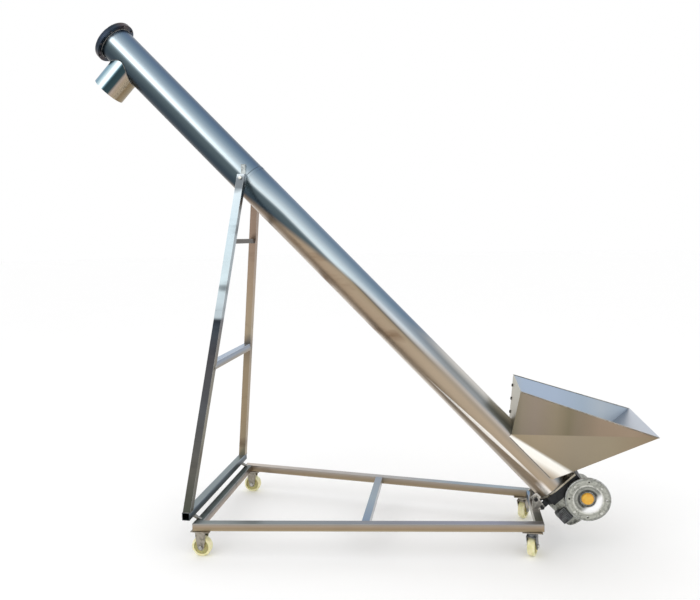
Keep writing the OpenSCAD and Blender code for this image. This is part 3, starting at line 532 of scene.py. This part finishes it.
class AUGER_OT_cap(bpy.types.Operator):
    """Dark flange and cap at the top of the tube, in painted reflection bands"""

    bl_idname = "auger.cap"
    bl_label = "Top cap"

    def execute(self, context):
        f = Finish("dark_cap_steel", 0.75, 0.34)
        turn = f.dot(f.place, SIDE)
        # Dark steel with painted reflection bands across the cap, navy and reddish brown
        base = f.ramp(turn, -0.12, 0.12, [(-0.12, "27313f"), (-0.09, "2a3641"), (-0.06, "45393b"),
                                          (-0.01, "3c3336"), (0.03, "293240"), (0.08, "323f50"),
                                          (0.12, "222c3a")])
        dark = f.done(base, 0.18, grain=(50, (1, 1, 1), (0, 0, 0)), bump=0.06, rough=0.12, wear=0.35,
                      wear_colour="6d86a6", patch=10, edge=0.002)
        dress(dark, "top_flange", "top_cap")
        dress(plain_finish("cap_bolt_steel", "5a5457", 1.0, 0.35, "3a3538", spread=0.15), "cap_bolts")
        dress(plain_finish("bearing_steel", "b9babb", 1.0, 0.25, "8b8c8d"), "top_bearing", "worm_bearings")
        turned("top_flange_bead", [(TUBE_R + 0.0002, 0), (TUBE_R + 0.005, 0), (TUBE_R + 0.0012, -0.0045)],
               FOOT + AXIS * FLANGE_BEAD_UP, AXIS, "machine", weld_finish(), 96)
        return {"FINISHED"}


class AUGER_OT_frame(bpy.types.Operator):
    """Base rails, cross rails, foot bar, legs and bars"""

    bl_idname = "auger.frame"
    bl_label = "Base and support"

    def execute(self, context):
        x, y, z = (1, 0, 0), (0, 1, 0), (0, 0, 1)
        z0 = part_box("base_rail_front")[0].z
        # The steel bars' colours are painted light: painted reflection bands along each face and lighter or
        # darker faces of one steel, so each bar has its own copy
        near_top = (x, -0.82, 0.95, [(-0.82, "8b9292"), (-0.5, "6f7678"), (-0.45, "838a8d"), (0.2, "82858e"),
                                     (0.7, "8c8fa0"), (0.95, "8a8b8d")])
        dress(bar_finish("near_rail_steel", near_top, rail_front(z0), right="7d7c74"), "base_rail_front")
        far_top = (x, -0.82, 0.95, [(-0.82, "c6bcb2"), (-0.3, "aca6a3"), (0.2, "a5a4a4"), (0.5, "8c98a3"),
                                    (0.8, "96a3ad"), (0.95, "8b8d8c")])
        far_front = (z, z0, z0 + BAR, [(z0, "a4947f"), (z0 + 0.012, "95866e"), (z0 + 0.026, "9d9080"),
                                       (z0 + BAR, "a49f99")])
        dress(bar_finish("far_rail_steel", far_top, far_front, stains="5f5148"), "base_rail_rear")
        side = (z, z0, z0 + BAR, [(z0, "b0a092"), (z0 + 0.015, "9c9187"), (z0 + 0.032, "7d7a78"),
                                  (z0 + BAR, "8b8e90")])
        dress(bar_finish("wide_cross_steel", "66706f", "7e7d7c", right=side, stains="45464a"),
              "cross_rail_wide")
        mid_top = (y, -0.3, 0.3, [(-0.3, "7c8fa6"), (0.0, "92a0ab"), (0.3, "8a93a0")])
        dress(bar_finish("mid_cross_steel", mid_top, "9a958c", left="8f969a", right="b6babd"),
              "cross_rail_mid")
        end_top = (y, -0.2, 0.2, [(-0.2, "6b6f66"), (-0.1, "80817e"), (-0.04, "c4bfb9"), (0.04, "b5b1ad"),
                                  (0.1, "8a8f99"), (0.15, "5f7d9c"), (0.2, "6c8699")])
        end_side = (y, -0.2, 0.2, [(-0.2, "7c7e6f"), (-0.1, "b3b1ad"), (0.05, "a3a3a3"), (0.13, "67809a"),
                                   (0.2, "6b7b8a")])
        dress(bar_finish("narrow_cross_steel", end_top, "8f8a80", left=end_side, right=end_side),
              "cross_rail_narrow")
        foot_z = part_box("support_foot_bar")[0].z
        foot_side = (z, foot_z, foot_z + BAR, [(foot_z, "6a6b6c"), (foot_z + 0.01, "5a6165"),
                                               (foot_z + 0.02, "47535c"), (foot_z + 0.03, "58656f"),
                                               (foot_z + BAR, "8492a0")])
        dress(bar_finish("foot_bar_steel", "7e8a8e", "5a5f62", right=foot_side, left="6d6a64", spread=0.16,
                         patch=4), "support_foot_bar")
        # The near leg has a painted reflection of dark ground below a horizon at about 1.2 m and a painted
        # bright sky reflection above it
        near_leg = (z, LEG_LOW, LEG_HIGH, [(0.24, "4e5148"), (0.45, "5f5d58"), (0.75, "55575a"),
                                           (1.0, "4a494c"), (1.17, "3f474f"), (1.2, "2b3138"),
                                           (1.215, "b4c0c6"), (1.4, "bccbd0"), (1.7, "b5c4cb"),
                                           (1.96, "b9c1c6")])
        near_edge = (z, LEG_LOW, LEG_HIGH, [(0.24, "57574f"), (0.7, "77705f"), (1.1, "67615a"),
                                            (1.2, "55555a"), (1.215, "8f989d"), (1.6, "99a4aa"),
                                            (1.96, "87898d")])
        near_back = (z, LEG_LOW, LEG_HIGH, [(0.24, "555753"), (0.8, "6e6c63"), (1.18, "45484a"),
                                            (1.215, "a7b1b6"), (1.96, "b9c2c6")])
        dress(bar_finish("near_leg_steel", "c5ced2", near_leg, left=near_back, right=near_edge, spread=0.2,
                         patch=6, stains="2a2d33", rough=0.3), "support_leg_front")
        far_leg = (z, LEG_LOW, LEG_HIGH, [(0.24, "a0927b"), (0.5, "9b8a71"), (0.85, "93846e"),
                                          (0.98, "75685a"), (1.05, "a5967f"), (1.35, "9f8c77"),
                                          (1.6, "968171"), (1.96, "8a786a")])
        far_left = (z, LEG_LOW, LEG_HIGH, [(0.24, "b0a592"), (0.6, "6f675c"), (0.9, "5d5850"),
                                           (1.3, "7e7263"), (1.96, "6b5e53")])
        dress(bar_finish("far_leg_steel", "9b9184", far_leg, left=far_left, spread=0.1, stains="6e5c4b"),
              "support_leg_rear")
        bar_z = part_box("support_mid_bar")[0].z
        bar_side = (z, bar_z, bar_z + BAR, [(bar_z, "9a8f80"), (bar_z + 0.012, "8d8b89"),
                                            (bar_z + 0.024, "8a93a0"), (bar_z + 0.036, "7b8799"),
                                            (bar_z + BAR, "b4bbc4")])
        dress(bar_finish("mid_bar_steel", "9fb0c4", "8f8a82", right=bar_side), "support_mid_bar")
        dress(bar_finish("upper_bar_steel", "8b8988", "726b63", right="5a5551", rough=0.4),
              "support_upper_bar")
        dress(bar_finish("tab_steel", "8a8c8c", "7a766e"), "support_foot_tabs")
        dress(plain_finish("rail_plug_plastic", "2c2c2d", 0.0, 0.55, "1c1c1d", spread=0.15, grain=80,
                           bump=0.15, wear=0.2, wear_colour="5b5b5b"), "rail_end_caps")
        soften("base_rail_front", "base_rail_rear", "cross_rail_wide", "cross_rail_mid", "cross_rail_narrow",
               "support_foot_bar", "support_mid_bar", "support_upper_bar")
        soften("support_foot_tabs", width=0.001)
        return {"FINISHED"}


class AUGER_OT_welds(bpy.types.Operator):
    """Weld beads where bars and sheets meet"""

    bl_idname = "auger.welds"
    bl_label = "Weld beads"

    def execute(self, context):
        trim = context.scene.auger_trim
        bead = weld_finish()

        def run(name, points, closed=False, radius=None):
            sweep(name, points, radius or trim.bead, "machine", bead, closed=closed,
                  ripple=trim.ripple, sides=trim.bead_sides)

        low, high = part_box("base_rail_front")
        z0, z1 = low.z, high.z
        for bar in ("wide", "mid", "narrow"):
            a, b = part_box("cross_rail_" + bar)
            for tag, y in (("front", a.y), ("rear", b.y)):
                for edge, x in (("left", a.x), ("right", b.x)):
                    if (bar, edge) in (("wide", "left"), ("narrow", "right")):
                        continue
                    at = math.copysign(min(abs(y) - (x - (a.x + b.x) / 2) * RAIL_SLOPE, abs(y)), y)
                    run("bead_%s_%s_%s" % (bar, tag, edge), [(x, at, z0 + 0.003), (x, at, z1 - 0.003)])
        for tag, node in (("mid", "support_mid_bar"), ("upper", "support_upper_bar")):
            a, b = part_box(node)
            for end, y in (("front", a.y), ("rear", b.y)):
                inset = math.copysign(abs(y) - (0.004 if tag == "mid" else 0.002), y)
                run("bead_bar_%s_%s" % (tag, end), [(a.x, inset, a.z), (b.x, inset, a.z), (b.x, inset, b.z),
                                                    (a.x, inset, b.z)], True, 0.0018)
        foot_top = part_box("support_foot_bar")[1].z
        for end, node in (("front", "support_leg_front"), ("rear", "support_leg_rear")):
            verts = [v.co for v in NODES[node].data.vertices if v.co.z < foot_top + 0.001]
            xs, ys = [v.x for v in verts], [v.y for v in verts]
            run("bead_leg_" + end, [(min(xs), min(ys), foot_top), (max(xs), min(ys), foot_top),
                                    (max(xs), max(ys), foot_top), (min(xs), max(ys), foot_top)], True)
        ring = [on_tube(BEAD_LIFT, 2 * math.pi * k / RING_STEPS, TUBE_R + 0.0006) for k in range(RING_STEPS)]
        run("bead_tube_foot", ring, True)
        for end, sign in (("front", -1), ("rear", 1)):
            turn = sign * math.asin(THROAT_HALF / TUBE_R)
            run("bead_throat_" + end, [on_tube(u, turn, TUBE_R + BEAD_LIFT) for u in (0.06, 0.2, 0.35)])
        saddle = []
        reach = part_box("discharge_spout")[1].y + BEAD_LIFT
        for k in range(RING_STEPS):
            t = 2 * math.pi * k / RING_STEPS
            side = reach * math.sin(t)
            drop = math.sqrt(max(0.0, (TUBE_R + BEAD_LIFT) ** 2 - side**2))
            saddle.append(FOOT + AXIS * (SPOUT_UP + reach * math.cos(t)) - CROWN * drop + SIDE * side)
        run("bead_spout", saddle, True)
        a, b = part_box("foot_bracket")
        for tag, y in (("front", a.y), ("rear", b.y)):
            run("bead_bracket_" + tag, [(a.x + 0.004, y, a.z + 0.001),
                                        (min(b.x, 0.942) - 0.002, y, a.z + 0.001)])
        return {"FINISHED"}


class AUGER_OT_hopper(bpy.types.Operator):
    """Folded feed hopper, its rim hem and the dark heads"""

    bl_idname = "auger.hopper"
    bl_label = "Hopper"

    def execute(self, context):
        trim = context.scene.auger_trim
        f = Finish("hopper_sheet_steel", 1.0, 0.36)
        out = f.math("MULTIPLY", f.math("SIGN", f.dot(f.place, SIDE)), f.dot(f.normal, SIDE))
        down = f.dot(f.normal, (0, 0, 1))
        back = f.dot(f.normal, (1, 0, 0))
        along = f.dot(f.place, (1, 0, 0))
        high = f.math("SUBTRACT", f.dot(f.place, CROWN), FOOT.dot(CROWN))
        # Painted reflections on the sheet: the outside gets a painted tan ground reflection, one ramp for the
        # steeper faces and one for the flatter ones, and the inside a painted bluish sky reflection
        near = f.ramp(along, *HOPPER_SPAN, [(0.8, "827b68"), (0.84, "958a79"), (0.9, "988b7d"),
                                            (1.0, "958974"), (1.06, "857b65"), (1.1, "8d816f"),
                                            (1.2, "9c8a77"), (1.35, "a08d79"), (1.46, "8e7c66")])
        under = f.ramp(along, *HOPPER_SPAN, [(0.8, "a8997f"), (0.95, "aa9b84"), (1.1, "a09480"),
                                             (1.25, "9e927c"), (1.4, "988871"), (1.46, "8b7b60")])
        level = f.math("ABSOLUTE", down)
        outside = f.mix(f.span(level, 0.345, 0.335), near, under)
        streak = f.math("MULTIPLY", f.span(f.noise(3.2, (1.8, 1, 0.35), 2.0), 0.45, 0.68),
                        f.span(f.math("ABSOLUTE", f.math("SUBTRACT", along, 1.07)), 0.13, 0.02))
        streak = f.math("MULTIPLY", streak, f.span(level, 0.335, 0.345))
        outside = f.mix(f.math("MULTIPLY", streak, 0.55), outside, "6d6a52")
        inside = f.ramp(along, *HOPPER_SPAN, [(0.8, "a3a9ae"), (0.88, "9aa8ba"), (1.05, "96a3b5"),
                                              (1.2, "8f9caa"), (1.3, "97a0a9"), (1.46, "8693a1")])
        colour = f.mix(f.span(out, -0.1, 0.1), inside, outside)
        # Front faces: a painted paler reflection inside and a painted darker tan reflection outside
        front_in = f.math("MULTIPLY", f.span(f.math("ABSOLUTE", f.dot(f.normal, SIDE)), 0.45, 0.25),
                          f.span(down, 0.2, 0.5))
        colour = f.mix(front_in, colour, f.ramp(along, *HOPPER_SPAN,
                                                [(0.9, "b4b4aa"), (1.2, "bcbdb6"), (1.3, "c3c7cc"),
                                                 (1.46, "c0c6d0")]))
        front_out = f.math("MULTIPLY", f.span(f.math("ABSOLUTE", f.dot(f.normal, SIDE)), 0.45, 0.25),
                           f.span(down, -0.2, -0.5))
        colour = f.mix(front_out, colour, "8c7f6d")
        # Painted reflection bands up the rear face
        rear = f.span(f.math("ABSOLUTE", back), 0.85, 0.95)
        colour = f.mix(rear, colour, f.ramp(f.dot(f.place, (0, 0, 1)), 0.5, 0.85,
                                            [(0.5, "c3bdac"), (0.62, "8b8573"), (0.75, "a29c8c"),
                                             (0.85, "a9a798")]))
        # A painted highlight where the hopper meets the tube, white at the hopper's lower edge fading to tan
        up = f.math("SUBTRACT", f.dot(f.place, AXIS), FOOT.dot(AXIS))
        over = f.math("SUBTRACT", high, f.math("MULTIPLY_ADD", up, -0.27, 0.139))
        throat = f.ramp(over, -0.12, 0.0, [(-0.12, "8f7f6b"), (-0.085, "b3a48f"), (-0.06, "d9d0c2"),
                                           (-0.04, "fbf7ee"), (0.0, "fffdf6")])
        colour = f.mix(f.math("MULTIPLY", f.span(over, 0.012, -0.006), f.span(out, 0.3, 0.6)), colour, throat)
        sheet = f.done(colour, 0.05, grain=(120, (1, 1, 0.1), (0, 0.1, 0)), bump=0.03, rough=0.08, wear=0.3,
                       wear_colour="e9e7df", patch=2.2, edge=0.0015)
        dress(sheet, "hopper")
        dress(plain_finish("rivet_black", "35322e", 0.5, 0.45, "232120", spread=0.15), "hopper_rivets")
        verts = [v.co for v in NODES["hopper"].data.vertices]
        top = max(v.z for v in verts)
        rear_rim = [v for v in verts if v.z > top - 0.001]
        tip = max(v.x for v in verts)
        front_rim = [v for v in verts if v.x > tip - 0.0005]
        r = trim.hem
        rz, ry, rx = top - r, max(v.y for v in rear_rim) - r, sum(v.x for v in rear_rim) / len(rear_rim)
        fz, fy, fx = max(v.z for v in front_rim) - r, max(v.y for v in front_rim) - r, tip - 1.5 * r
        loop = [(rx, -ry, rz), (fx, -fy, fz), (fx, fy, fz), (rx, ry, rz)]
        hem = plain_finish("hem_steel", "b7b4aa", 1.0, 0.3, "8d8a80", spread=0.1)
        sweep("hopper_hem", loop, r, "machine", hem, closed=True, sides=10)
        return {"FINISHED"}


class AUGER_OT_casters(bpy.types.Operator):
    """Plates, forks, wheels, axles and hub rings"""

    bl_idname = "auger.casters"
    bl_label = "Casters"

    def execute(self, context):
        look = context.scene.auger_fittings
        zinc = plain_finish("zinc_plate", look.zinc_colour, 1.0, 0.36, "7f7a70", spread=0.16, grain=90,
                            bump=0.08)
        # The near narrow fork gets a darker copy of the zinc as painted shade
        shaded_zinc = plain_finish("zinc_plate_shaded", "77797b", 1.0, 0.36, "4b4d50", spread=0.16, grain=90,
                                 bump=0.08)
        dress(zinc, "caster_plates", "fork_wide_front", "fork_wide_rear", "fork_narrow_rear")
        dress(shaded_zinc, "fork_narrow_front")
        dress(plain_finish("bright_bolt", "cfcfca", 1.0, 0.28, "8e8e8a", spread=0.12), "caster_bolts",
              "axle_wide_front", "axle_wide_rear", "axle_narrow_front", "axle_narrow_rear")
        for end in ("wide", "narrow"):
            for side in ("front", "rear"):
                joint = JOINTS["roll_%s_%s" % (end, side)]
                centre, axis = Vector(joint["pos_m"]), Vector(joint["axis"]).normalized()
                f = Finish("nylon_%s_%s" % (end, side), 0.0, 0.42)
                tone_and_hub_shade = f.mix(f.span(f.noise(30, detail=5.0), 0.35, 0.7), look.wheel_colour, "d9d29a")
                apart = f.tree.nodes.new("ShaderNodeVectorMath")
                apart.operation = "DISTANCE"
                f.put(apart.inputs[0], f.place)
                apart.inputs[1].default_value = tuple(centre)
                # Painted shade in the wheel's recessed hub, darker olive towards the centre
                tone_and_hub_shade = f.mix(f.span(apart.outputs["Value"], 0.043, 0.036), tone_and_hub_shade, "bdb67c")
                f.shader.inputs["Subsurface Weight"].default_value = 0.08
                f.shader.inputs["Subsurface Scale"].default_value = 0.004
                dress(f.done(tone_and_hub_shade, 0.1, grain=(140, (1, 1, 1), (0, 0, 0)), bump=0.08, rough=0.15, wear=0.3,
                             wear_colour="f7f4dc", patch=25, edge=0.002), "wheel_%s_%s" % (end, side))
                ring = plain_finish("hub_ring_%s_%s" % (end, side), "9b9c9d", 1.0, 0.3, "6f7071", spread=0.12)
                half = max((v.co - centre).dot(axis)
                           for v in NODES["wheel_%s_%s" % (end, side)].data.vertices)
                for tag, sign in (("a", 1), ("b", -1)):
                    turned("hub_ring_%s_%s_%s" % (end, side, tag),
                           [(0.0115, -0.002), (0.016, -0.002), (0.016, 0.0), (0.0145, 0.0006),
                            (0.0115, 0.0006)], centre + axis * sign * (half + 0.0001), axis * sign,
                           "roller_%s_%s" % (end, side), ring, 32)
        soften("caster_plates", "fork_wide_front", "fork_wide_rear", "fork_narrow_front", "fork_narrow_rear",
               width=0.0005)
        return {"FINISHED"}


class AUGER_OT_drive(bpy.types.Operator):
    """Gearbox, motor flange, adaptor block and foot fittings"""

    bl_idname = "auger.drive"
    bl_label = "Drive"

    def execute(self, context):
        look = context.scene.auger_fittings
        cast = plain_finish("gearbox_casting", look.casting_colour, 0.85, 0.42, "6f706b", spread=0.28,
                            grain=160, bump=0.35, wear=0.55, wear_colour="d8d9d2", patch=14, rough=0.25)
        dress(cast, "gearbox_housing", "gearbox_cover")
        f = Finish("flange_casting", 0.9, 0.36)
        seat = Vector(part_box("bore_cap")[0]).lerp(Vector(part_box("bore_cap")[1]), 0.5)
        apart = f.tree.nodes.new("ShaderNodeVectorMath")
        apart.operation = "DISTANCE"
        flat = f.tree.nodes.new("ShaderNodeVectorMath")
        flat.operation = "MULTIPLY"
        f.put(flat.inputs[0], f.place)
        flat.inputs[1].default_value = (1, 0, 1)
        f.put(apart.inputs[0], flat.outputs[0])
        apart.inputs[1].default_value = (seat.x, 0, seat.z)
        radius = apart.outputs["Value"]
        # Rings round the bore: painted shade in the recess round the plug, a painted highlight ring on the
        # step, and painted lighter and darker rings across the face
        rings = f.ramp(radius, 0.03, 0.115, [(0.03, "3b3c3a"), (0.045, "3f403e"), (0.05, "5d5e5a"),
                                             (0.053, "9fa098"), (0.066, "84857f"), (0.072, "dcdcd4"),
                                             (0.08, "a3a49b"), (0.096, "b5b6ad"), (0.106, "8f9089"),
                                             (0.113, "c3c6c6")])
        glint_way = Vector((0.72, 0, -0.69))
        glint_at = seat.dot(glint_way)
        glint_side = f.span(f.dot(f.place, glint_way), glint_at + 0.012, glint_at + 0.04)
        glint = f.math("MULTIPLY", glint_side, f.math("MULTIPLY", f.span(radius, 0.036, 0.046),
                                                      f.span(radius, 0.074, 0.068)))
        mottle_and_glint = f.mix(f.math("MULTIPLY", f.span(f.noise(55, detail=6.0, distortion=1.0), 0.45, 0.68), 0.7),
                        rings, "6e6f6a")
        mottle_and_glint = f.mix(f.math("MULTIPLY", glint, 0.95), mottle_and_glint, "ffffff")
        dress(f.done(mottle_and_glint, 0.15, grain=(180, (1, 1, 1), (0, 0, 0)), bump=0.2, rough=0.2, wear=0.5,
                     wear_colour="e3e4de", patch=14, edge=0.002), "motor_flange", "spigot_plate")
        dress(plain_finish("flange_screw_steel", "cfcfc8", 1.0, 0.26, "8a8a84", spread=0.12), "flange_screws")
        dress(plain_finish("rib_casting", "6d6f70", 0.7, 0.45, "424446", spread=0.2, grain=120, bump=0.2),
              "cooling_ribs")
        dress(plain_finish("block_black", look.block_colour, 0.5, 0.5, "141516", spread=0.2, grain=110,
                           bump=0.2, wear=0.4, wear_colour="5f6164"), "adaptor_block", "adaptor_lug")
        dress(plain_finish("plug_yellow", look.plug_colour, 0.0, 0.42, "d99a2c", spread=0.1, grain=120,
                           bump=0.06, wear=0.2, wear_colour="f7cf73"), "bore_cap")
        dress(plain_finish("plug_dark", "3b3c3e", 0.6, 0.4, "27282a", spread=0.15), "housing_plug")
        dress(plain_finish("bracket_steel", "c9c5bd", 1.0, 0.3, "8f8c86", spread=0.14), "foot_bracket",
              "tube_lug")
        dress(plain_finish("end_plate_steel", "b5ad9c", 1.0, 0.34, "8c8473", spread=0.12), "tube_end_plate")
        dress(plain_finish("pin_black", "2d2c2c", 0.6, 0.45, "1c1b1b", spread=0.15), "foot_pins")
        dress(plain_finish("seal_rubber", "232425", 0.0, 0.7, "161717", spread=0.1, grain=90, bump=0.1,
                           wear=0.0), "shaft_seal")
        soften("gearbox_housing", "gearbox_cover", "cooling_ribs", "adaptor_block", "foot_bracket",
               width=0.0012)
        return {"FINISHED"}


class AUGER_OT_screw(bpy.types.Operator):
    """Screw, worm wheel and worm"""

    bl_idname = "auger.screw"
    bl_label = "Screw"

    def execute(self, context):
        dress(plain_finish("screw_steel", "8f9394", 1.0, 0.34, "6d6a64", spread=0.14, grain=80, bump=0.08),
              "screw_shaft", "flight_inlet", "flight_middle", "flight_outlet", "worm_shaft", "drive_key")
        dress(plain_finish("worm_bronze", "b08c46", 1.0, 0.34, "8d6c33", spread=0.12, grain=80, bump=0.08,
                           wear=0.5, wear_colour="e3c98c"), "worm_wheel")
        return {"FINISHED"}


class AUGER_OT_stage(bpy.types.Operator):
    """Floor, soft light and camera"""

    bl_idname = "auger.stage"
    bl_label = "Stage"

    def execute(self, context):
        look = context.scene.auger_stage
        context.scene.view_settings.view_transform = "Standard"
        bm = bmesh.new()
        bmesh.ops.create_circle(bm, cap_ends=True, segments=96, radius=look.floor_radius)
        mesh = bpy.data.meshes.new("studio_floor")
        bm.to_mesh(mesh)
        bm.free()
        floor = bpy.data.objects.new("studio_floor", mesh)
        context.scene.collection.objects.link(floor)
        f = Finish("floor_paint", 0.0, 0.9)
        pale = f.mix(f.noise(0.8), look.floor_colour, tuple(c * 0.99 for c in look.floor_colour))
        f.put(f.shader.inputs["Base Color"], pale)
        f.shader.inputs["Roughness"].default_value = 0.9
        f.shader.inputs["Specular IOR Level"].default_value = 0.1
        mesh.materials.append(f.mat)
        world = bpy.data.worlds.new("studio")
        world.use_nodes = True
        sky = world.node_tree.nodes["Background"]
        sky.inputs["Color"].default_value = (*look.world_colour, 1.0)
        sky.inputs["Strength"].default_value = look.world_strength
        context.scene.world = world
        for name, place, size, power in (("key", (-3.2, -4.2, 4.6), 3.6, look.key_power),
                                         ("fill", (4.2, -3.0, 2.6), 3.0, look.fill_power)):
            lamp = bpy.data.lights.new(name, "AREA")
            lamp.energy = power
            lamp.size = size
            light = bpy.data.objects.new(name, lamp)
            context.scene.collection.objects.link(light)
            aim = Vector(LIGHT_AIM) - Vector(place)
            light.matrix_world = Matrix.Translation(place) @ aim.to_track_quat("-Z", "Y").to_matrix().to_4x4()
        lens = bpy.data.cameras.new("camera")
        lens.sensor_width = SENSOR
        lens.sensor_fit = "HORIZONTAL"
        lens.lens = look.lens
        lens.clip_end = 500.0
        camera = bpy.data.objects.new("camera", lens)
        context.scene.collection.objects.link(camera)
        yaw, pitch, roll = CAMERA_YAW, CAMERA_PITCH, CAMERA_ROLL
        ahead = Vector((math.sin(yaw) * math.cos(pitch), math.cos(yaw) * math.cos(pitch), -math.sin(pitch)))
        right = Vector((math.cos(yaw), -math.sin(yaw), 0.0))
        over = right.cross(ahead)
        level = math.cos(roll) * right + math.sin(roll) * over
        upright = -math.sin(roll) * right + math.cos(roll) * over
        turn = Matrix((level, upright, -ahead)).transposed().to_4x4()
        camera.matrix_world = Matrix.Translation(CAMERA_PLACE) @ turn
        context.scene.camera = camera
        return {"FINISHED"}


class AUGER_PT_panel(bpy.types.Panel):
    """Shows the auger's settings and a button for each step"""

    bl_idname = "AUGER_PT_panel"
    bl_label = "Grain auger"
    bl_space_type = "VIEW_3D"
    bl_region_type = "UI"
    bl_category = "Auger"

    def draw(self, context):
        for group in ("auger_stage", "auger_steel", "auger_fittings", "auger_trim"):
            box = self.layout.box()
            settings = getattr(context.scene, group)
            for name in settings.__annotations__:
                box.prop(settings, name)
        for step in STEPS:
            self.layout.operator(step.bl_idname)


STEPS = (AUGER_OT_stage, AUGER_OT_tube, AUGER_OT_cap, AUGER_OT_frame, AUGER_OT_welds, AUGER_OT_hopper,
         AUGER_OT_casters, AUGER_OT_drive, AUGER_OT_screw)
SETTINGS = {"auger_stage": AugerStageSettings, "auger_steel": AugerSteelSettings,
            "auger_fittings": AugerFittingSettings, "auger_trim": AugerTrimSettings}


def register():
    for cls in (*SETTINGS.values(), *STEPS, AUGER_PT_panel):
        bpy.utils.register_class(cls)
    for name, cls in SETTINGS.items():
        setattr(bpy.types.Scene, name, PointerProperty(type=cls))


def unregister():
    for name in SETTINGS:
        delattr(bpy.types.Scene, name)
    for cls in reversed((*SETTINGS.values(), *STEPS, AUGER_PT_panel)):
        bpy.utils.unregister_class(cls)


def main():
    register()
    for step in STEPS:
        group, name = step.bl_idname.split(".")
        getattr(getattr(bpy.ops, group), name)()


if __name__ == "__main__":
    main()
